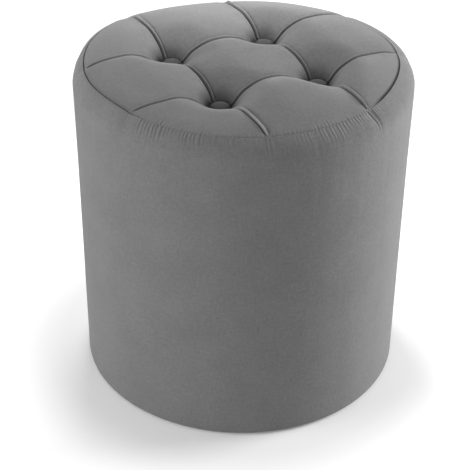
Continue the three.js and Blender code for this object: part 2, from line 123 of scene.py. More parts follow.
def settle(low, high, value):
    # 0 below low, 1 above high, and smooth between them
    share = np.clip((value - low) / (high - low), 0, 1)
    return share * share * (3 - 2 * share)


def angleBetween(a, b):
    return (a - b + math.pi) % fullTurn - math.pi


# helpers for materials

class Wire:
    # a node's output that takes part in sums
    def __init__(self, tree, socket):
        self.tree, self.socket = tree, socket

    def op(self, operation, *values):
        # a Math node on these values, or on this socket alone
        values = dict(enumerate(values or [self]))
        return node(self.tree, "ShaderNodeMath", {"operation": operation}, values)[0]

    def __add__(self, other):
        return self.op("ADD", self, other)

    def __sub__(self, other):
        return self.op("SUBTRACT", self, other)

    def __rsub__(self, other):
        return self.op("SUBTRACT", other, self)

    def __mul__(self, other):
        return self.op("MULTIPLY", self, other)

    __radd__, __rmul__ = __add__, __mul__

    def atLeast(self, other):
        return self.op("MAXIMUM", self, other)

    def clamped(self):
        return self.op("MINIMUM", self.atLeast(0), 1)

    def swing(self):
        # a sine between 0 and 1
        return self.op("SINE") * 0.5 + 0.5


def node(tree, kind, settings=None, values=None):
    # any node: its settings first, then the values or links of its sockets; returns its outputs
    made = tree.nodes.new(kind)
    for name, value in (settings or {}).items():
        setattr(made, name, value)
    for name, value in (values or {}).items():
        if isinstance(value, Wire):
            tree.links.new(value.socket, made.inputs[name])
        else:
            made.inputs[name].default_value = value
    return [Wire(tree, out) for out in made.outputs if out.enabled]


def newMaterial(name):
    material = bpy.data.materials.new(name)
    material.use_nodes = True
    material.node_tree.nodes.clear()
    return material, material.node_tree


def finishMaterial(tree, values):
    shader = node(tree, "ShaderNodeBsdfPrincipled", None, values)[0]
    node(tree, "ShaderNodeOutputMaterial", None, {"Surface": shader})


def noise(place, scale, detail=2.0, roughness=0.5):
    return node(place.tree, "ShaderNodeTexNoise", None,
                {"Vector": place, "Scale": scale, "Detail": detail, "Roughness": roughness})[0]


def streaks(place, scale, detail=2.0):
    # noise with its own scale along each axis
    drawn = node(place.tree, "ShaderNodeMapping", None, {"Vector": place, "Scale": scale})[0]
    return noise(drawn, 1.0, detail)


def axesOf(place):
    return node(place.tree, "ShaderNodeSeparateXYZ", None, {0: place})


def attribute(tree, name):
    return node(tree, "ShaderNodeAttribute", {"attribute_name": name})[2]


def scaled(colour, share):
    return node(share.tree, "ShaderNodeVectorMath", {"operation": "SCALE"}, {0: colour, "Scale": share})[0]


def mixed(share, first, second):
    return node(share.tree, "ShaderNodeMix", {"data_type": "RGBA"},
                {0: share, 6: (*first, 1), 7: (*second, 1)})[0]


def raised(relief):
    # relief in millimetres
    return node(relief.tree, "ShaderNodeBump", None, {"Strength": 1.0, "Distance": mm, "Height": relief})[0]


def objectPlace(tree):
    return node(tree, "ShaderNodeTexCoord")[3]


# grey cloth of the cover and the buttons

clothFinish = {
    "shade": (0.205, 0.204, 0.207),
    "threadPitch": 0.62,  # between neighbouring threads
    "threadShade": 0.10,  # share by which the gaps between threads are darker
    "threadWander": (90, 2.2),  # scale of the noise that bends the threads, and how far it does
    "slubScale": (75, 1000),  # of thick places, along a thread and across it
    "slubShade": 0.14,
    "mottle": (22, 0.22),  # scale and shade
    "grain": (260, 0.3),
    "paintedCreaseShade": 0.9,  # how much the painted shade darkens creases, pits and seams, and the painted highlight lightens the fold lips
    "gatherPitch": 4.5,  # between the small gathers at the seam
    "gatherDrift": (95, 8, 9.0),  # scales round the seam and away from it, and how far
    "gatherSize": (170, 30, 4.4, 1.5),  # the same scales, the contrast, and what is taken off
    "gatherHeight": 0.28,
    # painted light and shade along the small gathers
    "gatherPaintedShade": 0.1,
    "roughness": 0.92,
    "slubRoughness": 0.05,
    "weaveHeight": 0.05,
    "slubHeight": 0.13,
    "sheen": (0.25, 0.45),  # weight and roughness
    "gloss": 0.25,
    "buttonPaintedShade": 0.43,  # share of the cloth's shade that the buttons' cloth has: a darker copy, painted shade of the deep pits
}


# a darker copy of this cloth stands for painted shade on the buttons
def wovenCloth(name, finish, darker=1.0):
    material, tree = newMaterial(name)
    place = node(tree, "ShaderNodeUVMap", {"uv_map": "cloth"})[0]
    axes = axesOf(place)
    turnsPerMetre = fullTurn / (finish["threadPitch"] * mm)
    wanderScale, wanderSize = finish["threadWander"]
    wander = noise(place, wanderScale, 1.0) * wanderSize
    across = (axes[0] * turnsPerMetre + wander).op("SINE")
    along = (axes[1] * turnsPerMetre + wander).op("SINE")
    weave = across * along * 0.5 + 0.5
    slubLong, slubWide = finish["slubScale"]
    slub = streaks(place, (slubLong, slubWide, 1)) + streaks(place, (slubWide, slubLong, 1)) - 1.0
    mottleScale, mottleShade = finish["mottle"]
    grainScale, grainShade = finish["grain"]
    mottle = noise(place, mottleScale, 3.0) - 0.5
    grain = noise(place, grainScale, 2.0) - 0.5

    edge = node(tree, "ShaderNodeUVMap", {"uv_map": "edge"})[0]
    turns = axesOf(edge)[0] * (fullTurn / (finish["gatherPitch"] * mm))
    *sizeScale, contrast, less = finish["gatherSize"]
    size = (streaks(edge, (*sizeScale, 1), 1.0) * contrast - less).atLeast(0)
    *driftScale, driftSize = finish["gatherDrift"]
    drift = streaks(edge, (*driftScale, 1)) * driftSize
    ridge = (turns + drift).op("SINE") * attribute(tree, "gather") * size

    # the cloth's own slubs, mottle, grain and weave, with painted light and shade on the pillows, painted
    # shade in creases, pits and seams, painted highlight on the fold lips, and painted light and shade on the
    # gathers
    light = (1 + attribute(tree, "paintedLight") + slub * (2 * finish["slubShade"]) + mottle * mottleShade
             + grain * grainShade - (1 - weave) * finish["threadShade"])
    light *= (1 - attribute(tree, "crease") * finish["paintedCreaseShade"]) * (1 + ridge * finish["gatherPaintedShade"])
    finishMaterial(tree, {
        "Base Color": scaled(tuple(c * darker for c in finish["shade"]), light),
        "Roughness": finish["roughness"] - slub * finish["slubRoughness"],
        "Normal": raised(weave * finish["weaveHeight"] + slub * finish["slubHeight"]
                         + ridge * finish["gatherHeight"]),
        "Sheen Weight": finish["sheen"][0],
        "Sheen Roughness": finish["sheen"][1],
        "Specular IOR Level": finish["gloss"],
    })
    return material


# other finishes: each pattern gives the share of the second colour, what is added to the roughness,
# and the relief

def patterned(name, finish, pattern, *sizes):
    material, tree = newMaterial(name)
    share, rougher, relief = pattern(objectPlace(tree), finish, *sizes)
    finishMaterial(tree, {
        "Base Color": mixed(share, *finish["colours"]),
        "Roughness": finish["roughness"] + rougher,
        "Normal": raised(relief),
        "Specular IOR Level": finish["gloss"],
        "Metallic": finish.get("metal", 0.0),
        "Sheen Weight": finish.get("sheen", 0.0),
    })
    return material


plywoodFinish = {
    "colours": ((0.64, 0.47, 0.28), (0.36, 0.22, 0.11)),
    "ply": 2.46,
    "glueDepth": 0.15,  # of the first glue line's middle, inside the face
    "grainScale": (28, 520, 520),
    "figureScale": (3, 26, 26),
    "figureBands": 44,
    "roughness": 0.6,
    "gloss": 0.3,
}


def plies(place, finish, bottom):
    # plies show on the edge, grain and figure on the faces
    height = axesOf(place)[2] - (bottom - finish["glueDepth"]) * mm
    ply = (height * (math.pi / (finish["ply"] * mm))).op("SINE")
    core = (0.5 - ply * 4).clamped()
    grain = streaks(place, finish["grainScale"], 4.0)
    figure = (streaks(place, finish["figureScale"]) * finish["figureBands"]).swing()
    return grain * 0.5 + figure * 0.14 + core * 0.4 - 0.12, grain * 0.15, grain * 0.12 - core * 0.1


pineFinish = {
    "colours": ((0.74, 0.56, 0.33), (0.46, 0.27, 0.11)),
    "rings": 260,
    "ringSlant": 0.6,
    "ringWander": (22, 22, 1.6, 9),  # scale along each axis, and how far
    "fibreScale": (900, 900, 22),
    "roughness": 0.55,
    "gloss": 0.3,
}


def growthRings(place, finish):
    # drawn out along the post
    axes = axesOf(place)
    *wanderScale, wanderSize = finish["ringWander"]
    wander = streaks(place, wanderScale) * wanderSize
    ring = ((axes[0] + axes[1] * finish["ringSlant"]) * finish["rings"] * 2 + wander).swing()
    fibre = streaks(place, finish["fibreScale"], 3.0)
    return ring * ring * 0.45 + fibre * 0.3, fibre * 0.2, fibre * 0.1 + ring * 0.04


boardFinish = {
    "colours": ((0.235, 0.128, 0.066), (0.13, 0.066, 0.033)),
    "fibreScale": (420, 420, 900),
    "patchScale": 24,
    "roughness": 0.5,
    "gloss": 0.4,
}


def pressedFibres(place, finish):
    fibre = streaks(place, finish["fibreScale"], 3.0)
    patch = noise(place, finish["patchScale"], 3.0)
    return (fibre * 1.3 + patch * 0.7 - 0.5).clamped(), fibre * 0.2, fibre * 0.06


steelFinish = {
    "colours": ((0.47, 0.48, 0.49), (0.66, 0.67, 0.69)),
    "spangleScale": 900,
    "rubScale": (2600, 300, 300),
    "roughness": 0.3,
    "gloss": 0.5,
    "metal": 1.0,
}


def zincSpangle(place, finish):
    # a faint spangle with rubbed marks
    spangle = noise(place, finish["spangleScale"], 2.0)
    rub = streaks(place, finish["rubScale"])
    return spangle, spangle * 0.2 + rub * 0.12, spangle * 0.012 + rub * 0.008


mouldedFinish = {
    "colours": ((0.024, 0.024, 0.026), (0.045, 0.045, 0.048)),
    "scuffScale": (120, 900, 900),
    "grainScale": 2200,
    "roughness": 0.42,
    "gloss": 0.45,
}


def scuffedMoulding(place, finish):
    scuff = streaks(place, finish["scuffScale"], 3.0)
    return scuff, scuff * 0.25, noise(place, finish["grainScale"], 2.0) * 0.02


twineFinish = {
    "colours": ((0.50, 0.47, 0.38), (0.80, 0.77, 0.68)),
    "lay": 1.1,  # length of one turn of the strands, over their number
    "climb": 0.8,
    "fibreScale": 3000,
    "roughness": 0.6,
    "gloss": 0.3,
}


def twistedStrands(place, finish):
    # strands that climb round the twine
    axes = axesOf(place)
    climbing = axes[2] + axes[0] * finish["climb"] + axes[1] * finish["climb"]
    strand = (climbing * (fullTurn / (finish["lay"] * mm))).swing()
    fibre = noise(place, finish["fibreScale"], 2.0)
    return strand * 0.6 + fibre * 0.4, fibre * 0.2, strand * 0.16 + fibre * 0.04


foamFinish = {
    "colours": ((0.60, 0.52, 0.36), (0.82, 0.76, 0.60)),
    "cell": 1.3,
    "patchScale": 30,
    "roughness": 0.95,
    "gloss": 0.2,
}


def openCells(place, finish):
    # round cells cut open at the surface
    cells = 1 / (finish["cell"] * mm)
    cell = node(place.tree, "ShaderNodeTexVoronoi", None, {"Vector": place, "Scale": cells})[0]
    return cell * 0.8 + noise(place, finish["patchScale"], 3.0) * 0.3, 0, cell * 0.5


waddingFinish = {
    "colours": ((0.70, 0.70, 0.69), (0.90, 0.90, 0.88)),
    "crimpScale": 130,
    "fibreScale": (60, 620, 300),
    "roughness": 1.0,
    "gloss": 0.2,
    "sheen": 0.4,
}


def crimpedFibres(place, finish):
    # fibres lying over each other
    scale = finish["crimpScale"]
    crimp = node(place.tree, "ShaderNodeTexNoise", None, {"Vector": place, "Scale": scale})[1]
    bent = node(place.tree, "ShaderNodeVectorMath", {"operation": "ADD"}, {0: place, 1: crimp})[0]
    long, wide, deep = finish["fibreScale"]
    loft = streaks(bent, (long, wide, deep), 3.0).atLeast(streaks(bent, (wide, long, deep), 3.0))
    return loft, 0, loft * 0.9


dustFinish = {
    "colours": ((0.014, 0.014, 0.015), (0.034, 0.034, 0.037)),
    "dot": 1.6,  # between the bonded spots
    "fibreScale": 800,
    "patchScale": 18,
    "roughness": 0.95,
    "gloss": 0.25,
}


def bondedSpots(place, finish):
    # fibres held together by a grid of pressed spots
    axes = axesOf(place)
    turns = fullTurn / (finish["dot"] * mm)  # a metre
    rising, falling = [(slant * turns).op("SINE") for slant in (axes[0] + axes[1], axes[0] - axes[1])]
    dots = (rising * falling * 2 - 0.9).atLeast(0)
    fibre = noise(place, finish["fibreScale"], 4.0, 0.7)
    patch = noise(place, finish["patchScale"], 3.0)
    return fibre * 0.7 + patch * 0.5 - dots * 0.4, dots * -0.3, fibre * 0.12 - dots * 0.1


coverCloth = wovenCloth("greyWovenCloth", clothFinish)
# a darker copy of the cloth: painted shade of the deep pits on the buttons
shadedButtonCloth = wovenCloth("greyButtonClothPaintedShade", clothFinish, clothFinish["buttonPaintedShade"])
zincSteel = patterned("zincSteel", steelFinish, zincSpangle)
blackNylon = patterned("blackNylon", mouldedFinish, scuffedMoulding)
creamFoam = patterned("creamFoam", foamFinish, openCells)
whiteWadding = patterned("whiteWadding", waddingFinish, crimpedFibres)
blackDustCloth = patterned("blackDustCloth", dustFinish, bondedSpots)

# the frame's own parts that stay, by the start of their names
stayingParts = {
    "seat_deck": patterned("deckPlywood", plywoodFinish, plies, 335),
    "base_board": patterned("basePlywood", plywoodFinish, plies, 3.8),
    "post": patterned("planedPine", pineFinish, growthRings),
    "drum_wall": patterned("brownHardboard", boardFinish, pressedFibres),
    "tufting_twine": patterned("waxedTwine", twineFinish, twistedStrands),
    **dict.fromkeys(("deck_screw", "base_screw", "glide_nail", "button_back"), zincSteel),
    **dict.fromkeys(("glide", "twine_anchor"), blackNylon),
}
for name, part in nodes.items():
    start = name.rstrip("0123456789").rstrip("_")
    if start in stayingParts:
        for place in part.material_slots:
            place.material = stayingParts[start]
print("materials ready")


# tufted top

tufting = {
    "seamHeight": 402,
    "rimRadius": 182.24,
    "halfSpacing": 63.5,
    "crownRise": 13.5,
    "domePower": 5,
    "tuftDepth": 20,
    "pitFloorRadius": 11.45,
    "pitReach": 13,
    "pitNarrower": 0.42,  # share by which a pit is narrower towards -X and +Y
    "pitEnd": (34, 62),
    "pitFadePower": 8,
    "pleatDepth": (18, 18),  # valleys along Y, at their middle: the one at -X, then at +X
    "tuckDepth": (9.5, 14.5),  # valleys along X: the one at -Y, then at +Y
    "depthBlend": 30,
    "foldFadePower": 2,
    "creaseStart": (-1.5, 4),  # distances from the edge of a pit's floor
    "creaseEnd": 0.965,  # share of the radius where creases start to run out
    "tuckFade": (0.4, 18, 45),  # share by which a tuck's crease is shallower between buttons, and where
    "lipStart": (15, 26),  # distances from a button
    "slacks": (
        # where the cloth is drawn down, seen from a button, the width, and how far at each button
        (-10, -31, 20, (0, 0, 5.5, 0)),
        (-12.4, -26.4, 17, (3.2, 4.2, 4.8, 3.9)),
    ),
    "slackStart": (0, 8),  # from the edge of a pit's floor
    "slackFadePower": 6,
    "pillowLift": ((-3, 3, 2), (-2, -5, 1), (2, -1, 0)),  # rows from -Y, each from -X to +X
    "pillowEdge": 24,
    # painted light and shade on each pillow: lighter at the back, darker in the middle
    "pillowPaintedLight": ((0.05, 0.02, 0.01), (-0.03, -0.12, -0.11), (0.11, 0.09, 0.1)),
    "pillowPaintedLightBlend": 14,
    "rimDropPower": 14,
    "cloth": 1.2,
    "holeRadius": 5,
    "steepest": 1.8,  # limit of how much deeper a layer is on a slope
    "hollowWidth": 5,  # of the hollows that the padding has under the folds
    # radius and drop below the seam, and the same where the seam is gathered
    "rimRoll": ((182.9, 0.35, 183.0, 0.4), (183.5, 1.0, 183.75, 0.85), (183.9, 2.0, 184.2, 1.3),
                (183.95, 4.5, 184.2, 4.5), (183.95, 11.8), (182.8, 12)),
    # painted shade on the rim's rows that roll under the seam
    "rollPaintedShades": (0.6, 1, 1, 1),
    "farRightSeamShade": (122, 24, 0.25),  # painted shade along the seam: where it is darkest, how wide, and its shade elsewhere
    "gatherBeyond": 1.5,  # how far outside the rim the gathers start
    "gatherLength": 4.5,
}

half = tufting["halfSpacing"]
buttonPlaces = [(-half, half), (half, half), (half, -half), (-half, -half)]

# share of a valley's depth at distances across it
pleatValley = (
    (-56, 0), (-48, 0.015), (-39, 0.055), (-31, 0.12), (-24, 0.2), (-18, 0.29), (-13, 0.38), (-9, 0.48),
    (-6, 0.58), (-4, 0.68), (-2.4, 0.79), (-1.2, 0.9), (0, 1), (0.9, 0.96), (2.3, 0.9), (3.8, 0.84),
    (6, 0.76), (9, 0.66), (13, 0.55), (18, 0.43), (24, 0.31), (31, 0.19), (39, 0.09), (48, 0.02), (56, 0),
)
tuckValley = (
    (-52, 0), (-42, 0.04), (-33, 0.11), (-25, 0.21), (-18, 0.34), (-12, 0.49), (-8, 0.61), (-5, 0.73),
    (-3, 0.82), (-1.5, 0.91), (0, 1), (1.8, 0.88), (3, 0.82), (5, 0.73), (8, 0.61), (12, 0.49), (18, 0.34),
    (25, 0.21), (33, 0.11), (42, 0.04), (52, 0),
)
# depth of the narrow crease at the bottom of a valley, with the folded lip on its + side
pleatCrease = (
    (-1.8, 0), (-1.2, 0.5), (-0.85, 2.2), (-0.5, 5.2), (0, 6.8), (0.4, 5.4), (0.7, 2.4), (1, -0.4),
    (1.4, -2), (2, -2.9), (2.7, -2.7), (3.15, -1.4), (3.5, 0.6), (3.85, 1.9), (4.3, 1.1), (5, 0.2), (6, 0),
)
tuckCrease = (
    (-2.2, 0), (-1.4, 0.8), (-0.9, 3), (-0.5, 6), (0, 6.8), (0.6, 6.2), (1.05, 3.6), (1.45, 0.6),
    (2, -0.8), (2.7, -1.1), (3.4, -0.5), (4, 0.6), (4.6, 0.6), (5.6, 0),
)


def profileShare(profile, distance):
    places, shares = np.array(profile).T
    return np.interp(distance, places, shares)


def fromFolds(x, y):
    # signed distances to the nearer pleat and the nearer tuck, and the distance to the nearest button
    foldX, foldY = np.where(x < 0, x + half, x - half), np.where(y < 0, y + half, y - half)
    return foldX, foldY, np.hypot(foldX, foldY)


def valleyDepth(name, across):
    # changes over the middle from one fold's depth to the other's
    low, high = tufting[name]
    return low + (high - low) * settle(-tufting["depthBlend"], tufting["depthBlend"], across)


def pillowLift(x, y):
    column, row = [np.where(v < -half, 0, np.where(v < half, 1, 2)) for v in (x, y)]
    foldX, foldY, _ = fromFolds(x, y)
    inside = [np.abs(foldX), np.abs(foldY), np.maximum(0, tufting["rimRadius"] - np.hypot(x, y))]
    share = math.prod(1 - bump(d, tufting["pillowEdge"]) for d in inside)
    return np.array(tufting["pillowLift"])[row, column] * share


def pillowPaintedLightOf(x, y):
    # painted light and shade: the share by which each pillow is lighter or darker, blended across the folds
    blend = tufting["pillowPaintedLightBlend"]

    def shares(value):
        first, last = settle(-half - blend, -half + blend, value), settle(half - blend, half + blend, value)
        return 1 - first, first - last, last

    return sum(shade * shareX * shareY for row, shareY in zip(tufting["pillowPaintedLight"], shares(y))
               for shade, shareX in zip(row, shares(x)))


def seatHeight(x, y):
    foldX, foldY, fromButton = fromFolds(x, y)
    rimShare = np.minimum(1, np.hypot(x, y) / tufting["rimRadius"])
    fullPull = tufting["crownRise"] + tufting["tuftDepth"]

    narrower = np.where(foldX < 0, np.maximum(0, -np.sin(2 * np.arctan2(foldY, foldX))), 0)
    reach = tufting["pitReach"] * (1 - tufting["pitNarrower"] * narrower)
    fromFloor = fromButton - tufting["pitFloorRadius"]
    pit = (1 - settle(*tufting["pitEnd"], fromButton)) / (1 + (np.maximum(0, fromFloor) / reach) ** 2)
    fade = (1 - rimShare ** tufting["foldFadePower"]) / fullPull
    pleat = valleyDepth("pleatDepth", x) * fade * profileShare(pleatValley, foldX)
    tuck = valleyDepth("tuckDepth", y) * fade * profileShare(tuckValley, foldY)
    pull = fullPull * (1 - (1 - pit) * (1 - pleat) * (1 - tuck)) * (1 - rimShare ** tufting["pitFadePower"])
    crown = tufting["crownRise"] * (1 - rimShare ** tufting["domePower"])

    share, *stretch = tufting["tuckFade"]
    alongX = profileShare(tuckCrease, foldY) * (1 - share * settle(*stretch, fromButton))
    alongY = profileShare(pleatCrease, foldX)
    deeper = np.maximum(alongX, alongY)
    lip = np.minimum(alongX, alongY) * settle(*tufting["lipStart"], fromButton)
    crease = (np.where(deeper > 0, deeper, lip) * settle(*tufting["creaseStart"], fromFloor)
              * (1 - settle(tufting["creaseEnd"], 1, rimShare)))

    slack = sum(depth * bump(np.hypot(x - a - besideX, y - b - besideY), width)
                for besideX, besideY, width, depths in tufting["slacks"]
                for depth, (a, b) in zip(depths, buttonPlaces))
    slack *= settle(*tufting["slackStart"], fromFloor) * (1 - rimShare ** tufting["slackFadePower"])
    rimDrop = seamDip(np.arctan2(y, x)) * rimShare ** tufting["rimDropPower"]
    return tufting["seamHeight"] + crown - pull - crease - slack + pillowLift(x, y) - rimDrop


# seam line: how it leaves its circle, by the angle round the drum

seamLine = {
    "radius": 185,  # for distances along the seam
    "mapRadius": 190,  # for the map that the gathers follow
    "front": math.radians(-118.6),  # the side that the camera sees
    "foldEnds": np.radians((-110.3, -69.7, -20.3, 20.3, 69.7, 110.3, 159.7, -159.7)),
    "foldEndWidth": 7,
    "pullDown": 1.1,  # at the ends of the folds
    "pullIn": 0.5,
    "pullInWidth": 10,
    # degrees from the front
    "softStart": (-45, -33),  # of the gathered stretch
    "softEnd": (49, 61),
    "softFade": 0.95,  # share by which the seam's painted shade is fainter there
    # where the seam's painted shade is fainter at the left
    "leftStart": (20, -20),
    "leftEnd": (-160, -178),
    "leftPaintedShade": 0.35,
    # waves round the drum: number, size, start
    "dipWaves": ((3, 0.5, 1.2), (5, 0.4, 0.3)),
    "gatherWaves": ((7, 0.35, 1), (17, 0.25, 3), (41, 0.2, 0)),
    "gatherShare": 0.75,  # strength of the gathers, and the waves in it
    "gatherShareWaves": ((5, 0.25, 2),),
    "gatherBeside": (70, 17, 0.55),  # a second gathered place, its width and strength
}


def waves(angle, sizes):
    return sum(size * np.sin(number * angle + start) for number, size, start in sizes)


def fromFront(angle):
    return np.degrees(angleBetween(angle, seamLine["front"]))


def stretchShare(name, angle):
    return (settle(*seamLine[name + "Start"], fromFront(angle))
            * (1 - settle(*seamLine[name + "End"], fromFront(angle))))


def softShare(angle):
    return stretchShare("soft", angle)


def paintedSeamShade(angle):
    # painted shade along the seam: crisp at the right, faint at the left and where the cloth is gathered
    left = (1 - seamLine["leftPaintedShade"]) * stretchShare("left", angle)
    return (1 - seamLine["softFade"] * softShare(angle)) * (1 - left)


def atFoldEnds(angle, width):
    return sum(bump(angleBetween(angle, end) * seamLine["radius"], width) for end in seamLine["foldEnds"])


def seamDip(angle):
    # how far the seam is drawn down, most at the ends of the folds
    pulled = seamLine["pullDown"] * atFoldEnds(angle, seamLine["foldEndWidth"])
    return waves(angle, seamLine["dipWaves"]) + pulled


handMade = {
    # how the upper end of the drum leaves a true circle: degrees from the front, width, outwards, up
    "swells": ((-118, 27, 4.5, 2.0), (122, 32, 3.7, 1.2), (-170, 24, -0.9, -1.9)),
    "shoulderSwells": ((150, 34, 2.4, 0.6), (120, 24, 0.6, 1.6), (-132, 24, 3.2, 0.6)),
    "seamPulls": ((70, 24, -4.4, 1.8), (-52, 20, -3.0, 2.2), (-104, 16, 1.8, 0.3)),
    # heights and radii between which each starts or ends
    "swellHeights": (268, 396),
    "swellRadii": (70, 175),
    "upperHeights": (350, 385),
    "shoulderRadii": (186, 192),
    "seamRadii": (140, 182),
    "seamEnd": (186.5, 198),
    "topHeights": (372, 382),
    "topEnd": (188, 198),
    "topShift": (-1.2, 0.65),
}


def handMadeForm(points):
    # pushes the upper end of a soft piece out and up by its angle round the drum
    x, y, z = np.array(points, float).T
    radius = np.hypot(x, y)
    angle = np.arctan2(y, x) - seamLine["front"]

    def moved(name):
        return sum(np.outer(move, bump(np.degrees(angleBetween(angle, math.radians(middle))), width))
                   for middle, width, *move in handMade[name])

    def between(name, value):
        return settle(*handMade[name], value)

    upper = between("upperHeights", z)
    shoulder = between("shoulderRadii", radius) * upper
    swell = between("swellHeights", z) * between("swellRadii", radius)
    atSeam = between("seamRadii", radius) * (1 - between("seamEnd", radius)) * upper
    out, up = (moved("swells") + moved("shoulderSwells") * shoulder) * swell + moved("seamPulls") * atSeam
    grown = 1 + out / np.maximum(radius, 1)
    top = between("topHeights", z) * (1 - between("topEnd", radius))
    shiftX, shiftY = handMade["topShift"]
    return np.stack([x * grown + shiftX * top, y * grown + shiftY * top, z + up], -1)


coverGrid = {
    "spacing": 2.4,
    "besideFold": (0.3, 0.55, 0.8, 1.05, 1.35, 1.7, 2.1, 2.5, 2.85, 3.2, 3.55, 3.9,
                   4.3, 5, 6, 7.4, 9.2, 11.4),
}
paddingGrid = {
    "spacing": 6,
    "besideFold": (1.2, 3, 6),
}


def stationShares(length, bothEnds, grid):
    # shares along a strip that starts at a fold; a middle strip ends at one too
    near = np.array(grid["besideFold"]) / length
    farthest = 1 - near[-1] if bothEnds else 1
    count = round((farthest - near[-1]) * length / grid["spacing"])
    middle = np.linspace(near[-1], farthest, count + 1)[1:]
    return np.concatenate([[0], near, middle[:-1], (1 - near)[::-1]] if bothEnds else [[0], near, middle])


def topPlan(rim, grid):
    # x and y of a square grid drawn out to the rim, with its lines along the folds
    tuckAngle = math.asin(half / rim)
    middle = stationShares(2 * half, True, grid) * 2 - 1
    outer = stationShares(math.sqrt(rim ** 2 - half ** 2) - half, False, grid)
    kind = np.concatenate([-np.ones(len(outer)), np.zeros(len(middle)), np.ones(len(outer))])
    share = np.concatenate([outer[::-1], middle, outer])
    twice = [len(outer), len(outer) + len(middle)]  # a fold's line is there once
    kind, share = np.delete(kind, twice), np.delete(share, twice)

    def arc(s):
        return tuckAngle + (math.pi / 4 - tuckAngle) * s

    def corner(s, t):
        outside = t * np.sin(arc(s)) + s * np.cos(arc(t)) - s * t * math.sqrt(0.5)
        return half * (1 - s) * (1 - t) + rim * outside

    def along(kindA, kindB, a, b):
        reach = np.sqrt(np.maximum(0, rim ** 2 - (half * b) ** 2)) - half
        strip = kindA * (half + a * reach)
        return np.where(kindA == 0, half * a, np.where(kindB == 0, strip, kindA * corner(a, b)))

    kindX, kindY = np.meshgrid(kind, kind)
    s, t = np.meshgrid(share, share)
    return along(kindX, kindY, s, t), along(kindY, kindX, t, s)


def boundaryOf(quads):
    # edges that only one of these quads has, against its own direction
    edges = {(int(a), int(b)): True for quad in quads for a, b in zip(quad, np.roll(quad, -1))}
    return [(b, a) for a, b in edges if (b, a) not in edges]


def layerOf(plan, depths, rimRows, hole, hollowDepth=0, floorHeight=None):
    # a closed layer: an upper grid, rows down its edge and a lower grid
    x, y = plan
    foldX, foldY, _ = fromFolds(x, y)
    hollow = np.maximum(bump(foldX, tufting["hollowWidth"]), bump(foldY, tufting["hollowWidth"]))
    height = seatHeight(x, y) - hollowDepth * hollow
    step = 0.5  # for the slopes
    slopeX = (seatHeight(x + step, y) - seatHeight(x - step, y)) / (2 * step)
    slopeY = (seatHeight(x, y + step) - seatHeight(x, y - step)) / (2 * step)
    steep = np.minimum(tufting["steepest"], np.sqrt(1 + slopeX ** 2 + slopeY ** 2))
    upper, lower = [height - depth * steep for depth in depths]
    if floorHeight is not None:
        lower = np.full_like(x, floorHeight)

    index = np.arange(x.size).reshape(x.shape)
    quads = np.stack([index[:-1, :-1], index[:-1, 1:], index[1:, 1:], index[1:, :-1]], -1)
    inHole = fromFolds((x[:-1, :-1] + x[1:, 1:]) / 2, (y[:-1, :-1] + y[1:, 1:]) / 2)[2] < hole
    kept = quads[~inHole]
    loop = np.concatenate([index[0, :-1], index[:-1, -1], index[-1, :0:-1], index[:0:-1, 0]])
    angle = np.arctan2(y.ravel()[loop], x.ravel()[loop])
    soft = softShare(angle)
    points, faces = [np.stack([x, y, upper], -1).reshape(-1, 3)], [kept]
    above, total = loop, x.size
    for radius, drop, *gathered in rimRows:
        softRadius, softDrop = gathered or (radius, drop)
        level = tufting["seamHeight"] - seamDip(angle) - drop - (softDrop - drop) * soft
        points.append(onCircle(radius + (softRadius - radius) * soft, angle, level))
        below = total + np.arange(len(loop))
        faces.append(joined(above, below))
        above, total = below, total + len(loop)
    points.append(np.stack([x, y, lower], -1).reshape(-1, 3))
    walls = [(b, a, a + total, b + total) for a, b in boundaryOf(quads[inHole])]
    faces += [kept[:, ::-1] + total, joined(above, total + loop), walls]
    return np.concatenate(points), [face for part in faces for face in part], loop


paintedShadeLook = {
    # painted shade along the folds and painted highlight on their lips: strength, place beside the fold,
    # width, and the power of their edges
    "pleatLine": (0.95, -0.1, 0.72, 4),
    "pleatEdge": (0.55, 3.9, 0.5, 2),
    "pleatLip": (0.62, 1.95, 1.15, 4),  # painted highlight: the lips are lighter
    "tuckLine": (1, 0.2, 0.95, 4),
    "tuckLip": (0.2, 2.5, 0.8, 2),
    # what changes away from a button: how much, and the distances between which it does
    "tuckFade": (0.45, 20, 50),
    "lipStart": (1, 14, 20),
    # painted shade in the pit round each button
    "pitRing": (0.85, 14, 17.6),
    "pitShade": (0.48, 14, 27),
    "lightest": -0.62,
    "rimFade": (0.3, 20),  # share and power
}


def paintedShadeAndHighlight(x, y):
    # painted shade in folds and pits and painted highlight on the lips, fainter towards the rim
    foldX, foldY, fromButton = fromFolds(x, y)

    def line(name, distance):
        strength, place, *form = paintedShadeLook[name]
        return strength * bump(distance - place, *form)

    def farther(name):
        strength, start, end = paintedShadeLook[name]
        return strength * settle(start, end, fromButton)

    pleat = line("pleatLine", foldX) + line("pleatEdge", foldX)
    tuck = line("tuckLine", foldY) * (1 - farther("tuckFade"))
    lip = np.maximum(line("pleatLip", foldX), line("tuckLip", foldY)) * farther("lipStart")
    pit = paintedShadeLook["pitRing"][0] - farther("pitRing") + paintedShadeLook["pitShade"][0] - farther("pitShade")
    rimFade, rimPower = paintedShadeLook["rimFade"]
    mark = np.clip(np.maximum(np.maximum(pleat, tuck), pit) - lip, paintedShadeLook["lightest"], 1)
    return mark * (1 - rimFade * (np.hypot(x, y) / tufting["rimRadius"]) ** rimPower)


def gatherMark(angle, fromSeam, length):
    # strength of the small gathers at a distance from the seam
    middle, width, strength = seamLine["gatherBeside"]
    beside = strength * bump(fromFront(angle) - middle, width)
    share = seamLine["gatherShare"] + waves(angle, seamLine["gatherShareWaves"])
    strength = np.maximum(softShare(angle) * share, beside)
    uneven = 1 + waves(angle, seamLine["gatherWaves"])
    return strength * np.exp(-(np.maximum(0, fromSeam) / (length * uneven)) ** 2)


